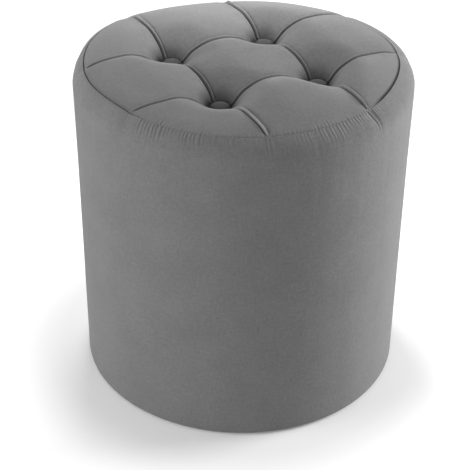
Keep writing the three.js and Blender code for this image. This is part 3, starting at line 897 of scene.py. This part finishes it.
plan = topPlan(tufting["rimRadius"], coverGrid)
points, faces, rimLoop = layerOf(plan, (0, tufting["cloth"]), tufting["rimRoll"], tufting["holeRadius"])
turn, radius = np.arctan2(points[:, 1], points[:, 0]), np.hypot(points[:, 0], points[:, 1])
upper = plan[0].size
middle, width, elsewhere = tufting["farRightSeamShade"]
farRightSeamShade = bump(fromFront(turn[rimLoop]) - middle, width)
seamPaintedShade = paintedSeamShade(turn[rimLoop])
# painted shade in the folds, the pits and along the seam, painted highlight on the fold lips; the rest of the
# layer is painted darkest
crease = np.ones(len(points))
crease[:upper] = paintedShadeAndHighlight(*plan).ravel()
crease[rimLoop] = np.maximum(crease[rimLoop], (elsewhere + (1 - elsewhere) * farRightSeamShade) * seamPaintedShade)
rolled = np.outer(tufting["rollPaintedShades"], seamPaintedShade).ravel()
crease[upper:upper + len(rolled)] = rolled
gatherStart = tufting["rimRadius"] + tufting["gatherBeyond"]
tuftedTop = addPiece("tuftedTop", handMadeForm(points), faces, {
    "cloth": (points[:, :2], None),
    "edge": roundMap(turn, radius, seamLine["mapRadius"]),
}, {
    "crease": crease,
    "gather": gatherMark(turn, gatherStart - radius, tufting["gatherLength"]),
    "paintedLight": pillowPaintedLightOf(points[:, 0], points[:, 1]),
}, coverCloth)
print("tufted top ready,", len(faces), "faces")

# side cover

sideCover = {
    "radius": 200,
    "seamRadius": 185.7,
    "shoulderBottom": 378,
    "shoulderTop": 399.8,
    "shoulderTurn": math.radians(55),
    "shoulderPoints": 19,
    "hemInner": 176,
    "hemOuter": 187,
    "hemBottom": 2.3,
    "hemTop": 3.5,
    "hemRound": 2.5,
    "hemPoints": 6,
    "heights": (*np.linspace(14, 290, 13), *np.linspace(304, 374, 18)),
    # radius and height: the edge that is turned down at the seam, crisp and gathered
    "seamRoll": ((185.2, 399.9), (184.8, 399.4), (184.55, 398.4), (184.5, 396), (184.5, 390)),
    "softRoll": ((185.2, 400.15), (184.75, 400.4), (184.4, 400.4), (184.4, 396), (184.5, 390)),
    "innerTop": ((185.7, 390), (185.7, 397.5)),
    "innerSide": ((198.8, 300), (198.8, 150), (198.8, 5), (197.5, 3.6)),
    "cloth": (1.2, 1.5, 0.2),  # at the side, down from the shoulder's face, and in from its top
    "dipFrom": 340,  # height above which the band follows the seam's dips
    "pullFrom": 384,
    "plainBelow": 20,
    "columns": 1000,
    "backSeam": math.radians(90),  # where the two ends of the cloth are joined
    "backSeamForm": ((0.3, 7), (-1.2, 0.9)),  # height and width of a ridge, and of the groove in it
    "backSeamShade": (0.85, 0.8),
    "seed": 11,
    "puckerSpacing": 6.4,
    # ranges of each pucker's own share of these measures
    "puckerDraws": ((0.25, 1), (0.6, 1.6), (0.7, 1.3)),  # depth, length and width
    "puckerStep": (0.65, 1.45),
    "puckerWidth": 1.6,
    "puckerDepth": 0.3,
    "puckerLength": 11,
    "puckerShares": (0.1, 0.9, 0.35),  # all round, where the seam is gathered, and at the right
    "puckersRight": (math.radians(12), 26),
    "foldPuckers": (1.2, 2.0, 0.4, 0.3, 0.2, 0.2, 0.3, 0.4),  # depth at the end of each fold
    "foldPuckerLength": 13,
    "foldPuckerWidth": 1.3,
    "foldPuckerPair": ((-1.5, 1), (3.5, 0.9)),  # place beside the fold's end, and share of the depth
    "ripples": ((23, 0.10, 0.4), (37, 0.08, 2.1), (61, 0.06, 4.0), (97, 0.04, 1.0)),
    "rippleStart": (0, 12),
    "rippleLength": 60,
    "rippleShares": (0.35, 0.65),  # all the way down, and near the seam
    "gatherLength": 11,
}

around = fullTurn * sideCover["radius"]
fineSteps = (0.4, 0.8, 1.2, 1.6, 2, 2.5, 3, 3.6, 4.3, 5.2)  # columns beside a place that needs more
fineStations = np.array([-s for s in fineSteps[::-1]] + [0, *fineSteps])
finePlaces = [sideCover["backSeam"], *seamLine["foldEnds"][:2]]
spread = (fineSteps[-1] + fineSteps[0]) / sideCover["radius"]
angles = evenAngles(sideCover["columns"])
angles = angles[np.min([np.abs(angleBetween(angles, p)) for p in finePlaces], axis=0) > spread]
fine = np.concatenate([p + fineStations / sideCover["radius"] for p in finePlaces]) % fullTurn
angles = np.sort(np.concatenate([angles, fine]))
random = np.random.default_rng(sideCover["seed"])


def puckersOf(length):
    # angle, depth, length and width of each gather round the seam
    place, made = 0.0, []
    while place < length:
        draws = [random.uniform(*limits) for limits in sideCover["puckerDraws"]]
        made.append((place / sideCover["radius"], *draws))
        place += sideCover["puckerSpacing"] * random.uniform(*sideCover["puckerStep"])
    return made


def lengthFrom(angles, place):
    return angleBetween(angles, place) * sideCover["radius"]


def sideWave(angles, below):
    # how far the side stands out (+) or in (-) at a distance below the seam
    wave = np.zeros(len(angles))
    for place, depth, length, width in puckers:
        wave -= (sideCover["puckerDepth"] * depth * bump(below, sideCover["puckerLength"] * length)
                 * bump(lengthFrom(angles, place), sideCover["puckerWidth"] * width))
    allRound, gathered, right = sideCover["puckerShares"]
    rightPlace, rightWidth = sideCover["puckersRight"]
    rightBack = bump(np.degrees(angleBetween(angles, rightPlace)), rightWidth)
    wave *= allRound + gathered * softShare(angles) + right * rightBack
    lower, nearSeam = sideCover["rippleShares"]
    wave += (waves(angles, sideCover["ripples"]) * settle(*sideCover["rippleStart"], below)
             * (lower + nearSeam * np.exp(-below / sideCover["rippleLength"])))
    narrow = sideCover["foldPuckerWidth"]
    for end, depth in zip(seamLine["foldEnds"], sideCover["foldPuckers"]):
        across = lengthFrom(angles, end)
        pair = sum(share * bump(across - place, narrow)
                   for place, share in sideCover["foldPuckerPair"])
        wave -= depth * bump(below, sideCover["foldPuckerLength"]) * pair
    fromSeam = lengthFrom(angles, sideCover["backSeam"])
    return wave + sum(height * bump(fromSeam, width) for height, width in sideCover["backSeamForm"])


puckers = puckersOf(around)
side, seam, bend = sideCover["radius"], sideCover["seamRadius"], sideCover["shoulderTurn"]
hemInner, hemBottom, hemRound = sideCover["hemInner"], sideCover["hemBottom"], sideCover["hemRound"]
low, across = sideCover["shoulderBottom"], (side - seam) / (1 - math.cos(bend))
up = (sideCover["shoulderTop"] - low) / math.sin(bend)
shoulder = arcPoints(side - across, low, across, up, 0, bend, sideCover["shoulderPoints"])
foot = arcPoints(side - hemRound, hemBottom + hemRound, hemRound, hemRound, -quarter, 0,
                 sideCover["hemPoints"])
outer = [(hemInner, hemBottom), (sideCover["hemOuter"], hemBottom), *foot,
         *[(side, z) for z in sideCover["heights"]], *shoulder]
clothSide, clothDown, clothIn = sideCover["cloth"]
lining = [(r - (clothSide - clothIn) * (r - seam) / (side - seam) - clothIn, z - clothDown)
          for r, z in shoulder[::-3]]
inner = [*sideCover["innerTop"], *lining, *sideCover["innerSide"], (hemInner, sideCover["hemTop"])]
profile, softProfile = [np.array([*outer, *sideCover[name], *inner]) for name in ("seamRoll", "softRoll")]
rows, softRows = [turnedRows(p, angles).reshape(len(p), -1, 3) for p in (profile, softProfile)]
rows += (softRows - rows) * softShare(angles)[:, None]
dip, rim = seamDip(angles), seamLine["pullIn"] * atFoldEnds(angles, seamLine["pullInWidth"])
seamHeight = tufting["seamHeight"]
for row, (radius, height) in zip(rows, profile):
    if radius > seam:
        out = -rim * settle(sideCover["pullFrom"], seamHeight, height)
        if height > sideCover["plainBelow"]:
            out += sideWave(angles, max(0.0, seamHeight - height))
        row += onCircle(out, angles, 0)
    row[:, 2] -= dip * settle(sideCover["dipFrom"], seamHeight, height)
faces = turnedFaces(len(profile), len(angles), closed=True)
arc = np.concatenate([[0], np.cumsum(np.hypot(*np.diff(profile, axis=0).T))])
seamArc = arc[len(outer) - 1]
turn, along = np.tile(angles, len(profile)), np.repeat(arc, len(angles))
inSeam = [i > len(outer) and r <= seam for i, (r, z) in enumerate(profile)]
shade, width = sideCover["backSeamShade"]
backSeam = shade * bump(lengthFrom(turn, sideCover["backSeam"]), width) * (along < seamArc)
sidePiece = addPiece("sideCover", handMadeForm(rows.reshape(-1, 3)), faces, {
    "cloth": roundMap(turn, along, side),
    "edge": roundMap(turn, along, seamLine["mapRadius"]),
}, {
    # painted shade along the seam's turned-in rows, and a darker line at the back seam
    "crease": np.maximum(np.repeat(inSeam, len(angles)) * paintedSeamShade(turn), backSeam),
    "gather": gatherMark(turn, np.abs(seamArc - along), sideCover["gatherLength"]),
}, coverCloth)
print("side cover ready,", len(faces), "faces")

# padding under the cover

padding = {
    "rimRadius": 181.6,
    "coverDepth": 2.2,
    "wadding": 6,
    "hollowDepth": 5,  # under a fold
    "waddingEdge": ((181.5, 5), (181.4, 8)),  # radius, and drop below the seam
    "foamGap": 0.5,
    "foamEdge": ((181.5, 10.2), (181.6, 12.6), (184.9, 12.9), (184.9, 54)),
    "seatFoamBottom": 347.3,
    "twineHole": 4,
    "sideOuter": 197.6,
    "sideInner": 186.3,
    "sideBottom": 3.8,
    "sideTop": 394.6,
    "sideCorner": (195, 6.5),  # radius and height where the lower outer edge is rounded
    "shoulderCentre": (185.9, 374),
    "shoulderRise": 20,
    "shoulderPoints": 9,
    "outerHeights": (30, 350, 9),  # lowest, highest and how many
    "innerHeights": (370, 30, 9),
    "sideColumns": 180,
}
plan = topPlan(padding["rimRadius"], paddingGrid)
foamTop = padding["coverDepth"] + padding["wadding"]
points, faces, _ = layerOf(plan, (padding["coverDepth"], foamTop), padding["waddingEdge"],
                           tufting["holeRadius"], padding["hollowDepth"])
waddingPiece = addPiece("seatWadding", handMadeForm(points), faces, {"cloth": (points[:, :2], None)},
                        finish=whiteWadding)
points, faces, _ = layerOf(plan, (foamTop + padding["foamGap"], 0), padding["foamEdge"],
                           padding["twineHole"], padding["hollowDepth"], padding["seatFoamBottom"])
seatFoamPiece = addPiece("seatFoam", handMadeForm(points), faces, {"cloth": (points[:, :2], None)},
                         finish=creamFoam)

outside, inside, bottom = padding["sideOuter"], padding["sideInner"], padding["sideBottom"]
centreRadius, centreHeight = padding["shoulderCentre"]
cornerRadius, cornerHeight = padding["sideCorner"]
profile = [
    (inside, bottom), (cornerRadius, bottom), (outside, cornerHeight),
    *[(outside, z) for z in np.linspace(*padding["outerHeights"])],
    *arcPoints(centreRadius, centreHeight, outside - centreRadius, padding["shoulderRise"], 0, quarter,
               padding["shoulderPoints"]),
    (inside, padding["sideTop"]), *[(inside, z) for z in np.linspace(*padding["innerHeights"])],
]
turns = evenAngles(padding["sideColumns"])
points = turnedRows(profile, turns)
cloth = roundMap(np.tile(turns, len(profile)), points[:, 2], outside)
sideFoamPiece = addPiece("sideFoam", handMadeForm(points), turnedFaces(len(profile), len(turns), closed=True),
                         {"cloth": cloth}, finish=creamFoam)
print("padding ready")

# covered buttons

button = {
    "bottom": 382.3,
    "radius": 11.4,
    "edge": 2.4,
    "height": 6.5,
    "roll": 1.4,
    "rollStart": 0.2,  # angle that is left out at the flat underside
    "shell": 0.45,
    "points": (5, 17, 9),  # along the roll, the top and the lining
    "shift": ((-0.1, 0.1), (-0.6, 0.35), (-0.5, 0.3), (-0.6, 0.35)),
    "turn": (0.5, 1.3),  # of the first button's cloth, and how much more each next one has
    "mouth": 7.5,
    "gathers": 24,
    "gatherHeight": 0.16,
    "rimPaintedShade": (0.75, 0.68),  # painted shade at the button's edge: how dark, and the share of the radius where it starts
    "columns": 96,
}


def buttonProfile():
    # the skin from the mouth underneath over the rim to the top, and the lining back again
    radius, edge, shell, roll = button["radius"], button["edge"], button["shell"], button["roll"]
    up, (rollPoints, topPoints, liningPoints) = button["height"] - edge, button["points"]
    rolled = arcPoints(radius - roll, edge, roll, edge, button["rollStart"] - quarter, 0, rollPoints)
    dome = arcPoints(0, edge, radius, up, 0, quarter, topPoints)[1:-1]
    lining = arcPoints(0, edge, radius - shell, up - shell, quarter, 0, liningPoints)[1:]
    return ([(button["mouth"], 0), (radius - roll - 1, 0), *rolled, *dome],
            [*lining, (radius - shell, shell), (button["mouth"], shell)])


def coveredButton(name, x, y, turn):
    skin, lining = buttonProfile()
    turns = evenAngles(button["columns"])
    columns, count = len(turns), len(skin)
    share = [max(0, 1 - z / button["height"]) ** 2 for _, z in skin]
    gathers = button["gatherHeight"] * np.sin(button["gathers"] * turns + turn)
    skinRows = turnedRows(skin, turns)
    skinRows += onCircle(np.outer(share, gathers), turns, 0).reshape(-1, 3)
    poles = [[0, 0, button["height"]], [0, 0, button["height"] - button["shell"]]]
    points = np.concatenate([skinRows, poles, turnedRows(lining, turns)])
    mouth = np.arange(columns)
    peak = count * columns
    first = peak + len(poles)
    last = first + (len(lining) - 1) * columns
    faces = [*turnedFaces(count, columns), *fan(peak - columns + mouth, peak),
             *fan((first + mouth)[::-1], peak + 1), *(turnedFaces(len(lining), columns) + first),
             *joined(mouth, last + mouth)]
    # painted shade towards the button's edge
    shade, start = button["rimPaintedShade"]
    mark = shade * np.clip((np.hypot(*points.T[:2]) / button["radius"] - start) / (1 - start), 0, 1)
    cosTurn, sinTurn = math.cos(turn), math.sin(turn)
    cloth = points[:, :2] @ [[cosTurn, sinTurn], [-sinTurn, cosTurn]]
    points += [x, y, button["bottom"]]
    return addPiece(name, points, faces, {"cloth": (cloth, None)}, {"crease": mark}, shadedButtonCloth)


firstTurn, nextTurn = button["turn"]
buttons = [coveredButton(f"coveredButton_{i + 1}", x + shiftX, y + shiftY, firstTurn + nextTurn * i)
           for i, ((x, y), (shiftX, shiftY)) in enumerate(zip(buttonPlaces, button["shift"]))]
print("buttons ready")

# dust cover under the base

dust = {
    "radii": (7, 15, *range(22, 146, 6), *range(149, 171, 2), 172.6, 173.4, 174.2, 175,
              177, 179.5, 182, 184.5, 186.4, 187.2, 187.6),
    "raised": (173.4, 175),  # inside this it is drawn up to the board, outside it lies on the hem
    "lower": 2.95,
    "edgeLower": 1.45,
    "cloth": 0.5,
    "thinner": 0.14,  # at the rim, above and below
    "rim": (186, 187.6),
    "sag": 1.1,  # between the glides and the edge
    "sagShares": (0.6, 0.4),  # of the cloth, and of its folds
    "sagStart": (13, 45),  # from a glide
    "sagEnd": (120, 171),
    "drawnIn": 0.9,  # how far the edge goes in between staples
    "drawnFrom": (180, 187),
    "foldsFrom": (60, 170),
    "foldWander": ((3, 1.2, 0),),  # waves, as the seam line has them
    "uneven": ((0.3, 0.045, 0.038), (0.2, 0.09)),  # heights, and radians a millimetre
    "edgeFolds": 0.12,
    "edgeFoldsFrom": (176, 180),
    "glideRadius": 159.96,
    "glideAngles": (45, 135, 225, 315),
    "nailHole": 3.3,
    "staples": 34,
    "stapleRadius": 182.6,
    "columns": 408,
}


def dustCoverPiece():
    r, turn = np.meshgrid(np.array(dust["radii"], float), evenAngles(dust["columns"]), indexing="ij")
    x, y = r * np.cos(turn), r * np.sin(turn)
    glides = [(dust["glideRadius"] * math.cos(a), dust["glideRadius"] * math.sin(a))
              for a in np.radians(dust["glideAngles"])]

    def fromGlide(x, y):
        return np.min([np.hypot(x - a, y - b) for a, b in glides], axis=0)

    slack = settle(*dust["sagStart"], fromGlide(x, y)) * (1 - settle(*dust["sagEnd"], r))
    wander = waves(turn, dust["foldWander"])
    folds = 0.5 + 0.5 * np.sin(dust["staples"] * turn + wander) * settle(*dust["foldsFrom"], r)
    (high, alongX, alongY), (low, aslant) = dust["uneven"]
    uneven = high * np.sin(alongX * x + 1) * np.cos(alongY * y) + low * np.sin(aslant * (x + y))
    allOver, inFolds = dust["sagShares"]
    lower = (dust["lower"] + (dust["edgeLower"] - dust["lower"]) * settle(*dust["raised"], r)
             - slack * (dust["sag"] * (allOver + inFolds * folds) + uneven)
             - dust["edgeFolds"] * folds * settle(*dust["edgeFoldsFrom"], r))
    between = (0.5 + 0.5 * np.cos(dust["staples"] * turn)) * settle(*dust["drawnFrom"], r)
    drawn = 1 - dust["drawnIn"] / dust["radii"][-1] * between
    thinner = dust["thinner"] * settle(*dust["rim"], r)
    bottom, top = [np.stack([x * drawn, y * drawn, height], -1).reshape(-1, 3)
                   for height in (lower + thinner, lower + dust["cloth"] - thinner)]

    quads = turnedFaces(*r.shape)
    inHole = fromGlide(*bottom[quads].mean(axis=1).T[:2]) < dust["nailHole"]
    total, inner = r.size, np.arange(dust["columns"])
    outer = total - len(inner) + inner
    faces = [*quads[~inHole][:, ::-1], *(quads[~inHole] + total), *joined(outer + total, outer),
             *[(a, b, b + total, a + total) for a, b in boundaryOf(quads[inHole])],
             *fan(inner[::-1], 2 * total), *fan(inner + total, 2 * total + 1)]
    points = np.concatenate([bottom, top, [[0, 0, bottom[0, 2]], [0, 0, top[0, 2]]]])
    return addPiece("dustCover", points, faces, {"cloth": (points[:, :2], None)}, finish=blackDustCloth)


staple = {
    "crown": 11,
    "leg": 0.62,
    "wide": 1.2,
    "thick": 0.5,
    "bend": (0.45, 0.13),  # of the round corner, and of its middle
    "height": 0.62,  # its lowest face, over the floor
    "skew": 0.12,
    "seed": 4,
}


def stapleShape():
    # a flat wire bent at both ends
    end, leg = staple["crown"] / 2, staple["leg"]
    thick, wide = staple["thick"] / 2, staple["wide"] / 2
    bend, middle = staple["bend"]
    right = np.array([(end - bend, 0), (end - middle, middle), (end, bend), (end, leg + thick)])
    path = np.concatenate([right[::-1] * (-1, 1), right])
    along = np.gradient(path, axis=0)
    along /= np.hypot(*along.T)[:, None]
    points = [(x - dz * out, beside, z + dx * out + thick) for (x, z), (dx, dz) in zip(path, along)
              for beside, out in ((-wide, -thick), (wide, -thick), (wide, thick), (-wide, thick))]
    rings = np.arange(len(points)).reshape(-1, 4)
    faces = [f[::-1] for a, b in zip(rings, rings[1:]) for f in joined(a, b)]
    return addPiece("stapleShape", points, [*faces, rings[0][::-1], rings[-1]])


def stapleRing():
    # one shape set round a circle, each a little out of line
    tree = bpy.data.node_groups.new("staplesRoundEdge", "GeometryNodeTree")
    tree.interface.new_socket("Geometry", in_out="OUTPUT", socket_type="NodeSocketGeometry")
    kinds = {"Geometry": "Geometry", "Shape": "Object", "Count": "Int", "Radius": "Float", "Height": "Float",
             "Skew": "Float", "Seed": "Int", "Finish": "Material"}
    for label, kind in kinds.items():
        tree.interface.new_socket(label, in_out="INPUT", socket_type=f"NodeSocket{kind}")
    given = dict(zip(kinds, node(tree, "NodeGroupInput")))
    circle = node(tree, "GeometryNodeCurvePrimitiveCircle", {"mode": "RADIUS"},
                  {"Radius": given["Radius"], "Resolution": 8 * dust["staples"]})[0]
    places = node(tree, "GeometryNodeCurveToPoints", {"mode": "COUNT"},
                  {"Curve": circle, "Count": given["Count"]})
    facing = node(tree, "FunctionNodeAlignRotationToVector", {"axis": "X"}, {"Vector": places[1]})[0]
    shape = node(tree, "GeometryNodeObjectInfo", {"transform_space": "ORIGINAL"},
                 {"Object": given["Shape"]})[-1]
    staples = node(tree, "GeometryNodeInstanceOnPoints", None,
                   {"Points": places[0], "Instance": shape, "Rotation": facing})[0]
    angle = node(tree, "FunctionNodeRandomValue", {"data_type": "FLOAT"},
                 {"Min": given["Skew"] * -1.0, "Max": given["Skew"], "Seed": given["Seed"]})[0]
    for kind, socket, value in (("Rotate", "Rotation", angle), ("Translate", "Translation", given["Height"])):
        value = node(tree, "ShaderNodeCombineXYZ", None, {"Z": value})[0]
        staples = node(tree, f"GeometryNode{kind}Instances", None, {"Instances": staples, socket: value})[0]
    real = node(tree, "GeometryNodeRealizeInstances", None, {"Geometry": staples})[0]
    made = node(tree, "GeometryNodeSetMaterial", None, {"Geometry": real, "Material": given["Finish"]})[0]
    node(tree, "NodeGroupOutput", None, {"Geometry": made})
    return tree


def grown(name, tree, values):
    # a plain mesh from a tree of Geometry Nodes
    piece = addPiece(name, [[0, 0, 0]], [])
    modifier = piece.modifiers.new("nodes", "NODES")
    modifier.node_group = tree
    for item in tree.interface.items_tree:
        if item.in_out == "INPUT" and item.name in values:
            modifier[item.identifier] = values[item.name]
    bpy.context.view_layer.update()
    made = bpy.data.meshes.new_from_object(piece.evaluated_get(bpy.context.evaluated_depsgraph_get()))
    piece.modifiers.remove(modifier)
    piece.data = made
    return piece


dustPiece = dustCoverPiece()
shape = stapleShape()
staplesPiece = grown("dustStaples", stapleRing(), {
    "Shape": shape, "Count": dust["staples"], "Radius": dust["stapleRadius"] * mm,
    "Height": staple["height"] * mm, "Skew": staple["skew"], "Seed": staple["seed"], "Finish": zincSteel,
})
bpy.data.objects.remove(shape)
print("dust cover ready,", len(staplesPiece.data.polygons), "staple faces")

# what each piece rides on and replaces

replacing = [
    (tuftedTop, "top_cover", "cover_cloth"),
    (sidePiece, "side_cover", "cover_cloth"),
    (waddingPiece, "seat_wadding", "wadding"),
    (seatFoamPiece, "seat_foam", "foam"),
    (sideFoamPiece, "side_foam", "foam"),
    *[(piece, f"button_cap_{i + 1}", "button_cloth") for i, piece in enumerate(buttons)],
    (dustPiece, "dust_cover", "dust_cloth"),
]
for piece, name, slot in replacing:
    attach(piece, "root")
    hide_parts(name)
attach(staplesPiece, "root")

# studio, in metres

studio = {
    "floorSize": 12,
    "floorShade": (0.83, 0.83, 0.83),
    "world": 0.445,
    "floorGlow": (0.14, 0.42, 0.75),  # for the camera alone: in the drum's shadow, beside it, far off
    "glowReach": (0.225, 0.32, 0.6, 2.2),  # distances from the axis between which it grows
    "lampHeight": 0.25,  # of the point that the lamps' angles start from
    "lamps": (
        # name, angle from the front, height angle, distance, size, power, width of the beam, and
        # where it is aimed: how far behind the axis, and how high
        ("rightSoft", 104, 16, 2.0, 1.0, 39, 180, 0, 0.25),
        ("leftSoft", -70, 16, 2.0, 1.2, 20, 180, 0, 0.25),
        ("backSoft", -170, 60, 1.2, 0.35, 0.81, 45, 0.3, 0.4),
    ),
}
front = Vector((math.cos(seamLine["front"]), math.sin(seamLine["front"]), 0))
upwards = Vector((0, 0, 1))


def addLamp(name, turn, rise, distance, size, power, beam, behind, aimHeight):
    lamp = bpy.data.lights.new(name, "AREA")
    lamp.shape = "DISK"
    lamp.size, lamp.energy, lamp.spread = size, power, math.radians(beam)
    rise = math.radians(rise)
    sideways = Matrix.Rotation(math.radians(turn), 3, "Z") @ front
    place = distance * (math.cos(rise) * sideways + math.sin(rise) * upwards) + studio["lampHeight"] * upwards
    aim = aimHeight * upwards - behind * front
    holder = bpy.data.objects.new(name, lamp)
    holder.location = place
    holder.rotation_euler = (aim - place).to_track_quat("-Z", "Y").to_euler()
    bpy.context.scene.collection.objects.link(holder)


for lamp in studio["lamps"]:
    addLamp(*lamp)

material, tree = newMaterial("paleFloor")
seen = node(tree, "ShaderNodeLightPath")[0]
diffuse = node(tree, "ShaderNodeBsdfDiffuse", None, {"Color": (*studio["floorShade"], 1)})[0]
away = node(tree, "ShaderNodeVectorMath", {"operation": "LENGTH"}, {0: objectPlace(tree)})[0]


def glowRise(low, high):
    return node(tree, "ShaderNodeMapRange", {"interpolation_type": "SMOOTHSTEP"},
                {"Value": away, "From Min": low, "From Max": high})[0]


nearGlow, middleGlow, farGlow = studio["floorGlow"]
reach = studio["glowReach"]
strength = (nearGlow + glowRise(*reach[:2]) * (middleGlow - nearGlow)
            + glowRise(*reach[2:]) * (farGlow - middleGlow))
glow = node(tree, "ShaderNodeEmission", None, {"Color": scaled((1, 1, 1), seen * strength)})[0]
both = node(tree, "ShaderNodeAddShader", None, {0: diffuse, 1: glow})[0]
node(tree, "ShaderNodeOutputMaterial", None, {"Surface": both})
bpy.ops.mesh.primitive_plane_add(size=studio["floorSize"])
floor = bpy.context.object
floor.name = "floor"
floor.data.materials.append(material)

world = bpy.data.worlds.new("studioWorld")
bpy.context.scene.world = world
world.use_nodes = True
tree = world.node_tree
tree.nodes.clear()
seen = node(tree, "ShaderNodeLightPath")[0]
level = studio["world"] + seen * (1 - studio["world"])
light = node(tree, "ShaderNodeBackground", None, {"Color": (1, 1, 1, 1), "Strength": level})[0]
node(tree, "ShaderNodeOutputWorld", None, {"Surface": light})

# camera

view = {
    "place": (-0.6429, -1.1791, 1.0339),
    "target": (0, 0, 0.2),
    "lens": 96.31,
    "sensor": 36,
    "roll": math.radians(0.865),
    "shift": (-0.01447, -0.0599),
}
lens = bpy.data.cameras.new("camera")
lens.lens, lens.sensor_width = view["lens"], view["sensor"]
lens.shift_x, lens.shift_y = view["shift"]
camera = bpy.data.objects.new("camera", lens)
facing = (Vector(view["target"]) - Vector(view["place"])).to_track_quat("-Z", "Y").to_matrix().to_4x4()
camera.matrix_world = Matrix.Translation(view["place"]) @ facing @ Matrix.Rotation(view["roll"], 4, "Z")
bpy.context.scene.collection.objects.link(camera)
bpy.context.scene.camera = camera
bpy.context.scene.view_settings.view_transform = "Standard"
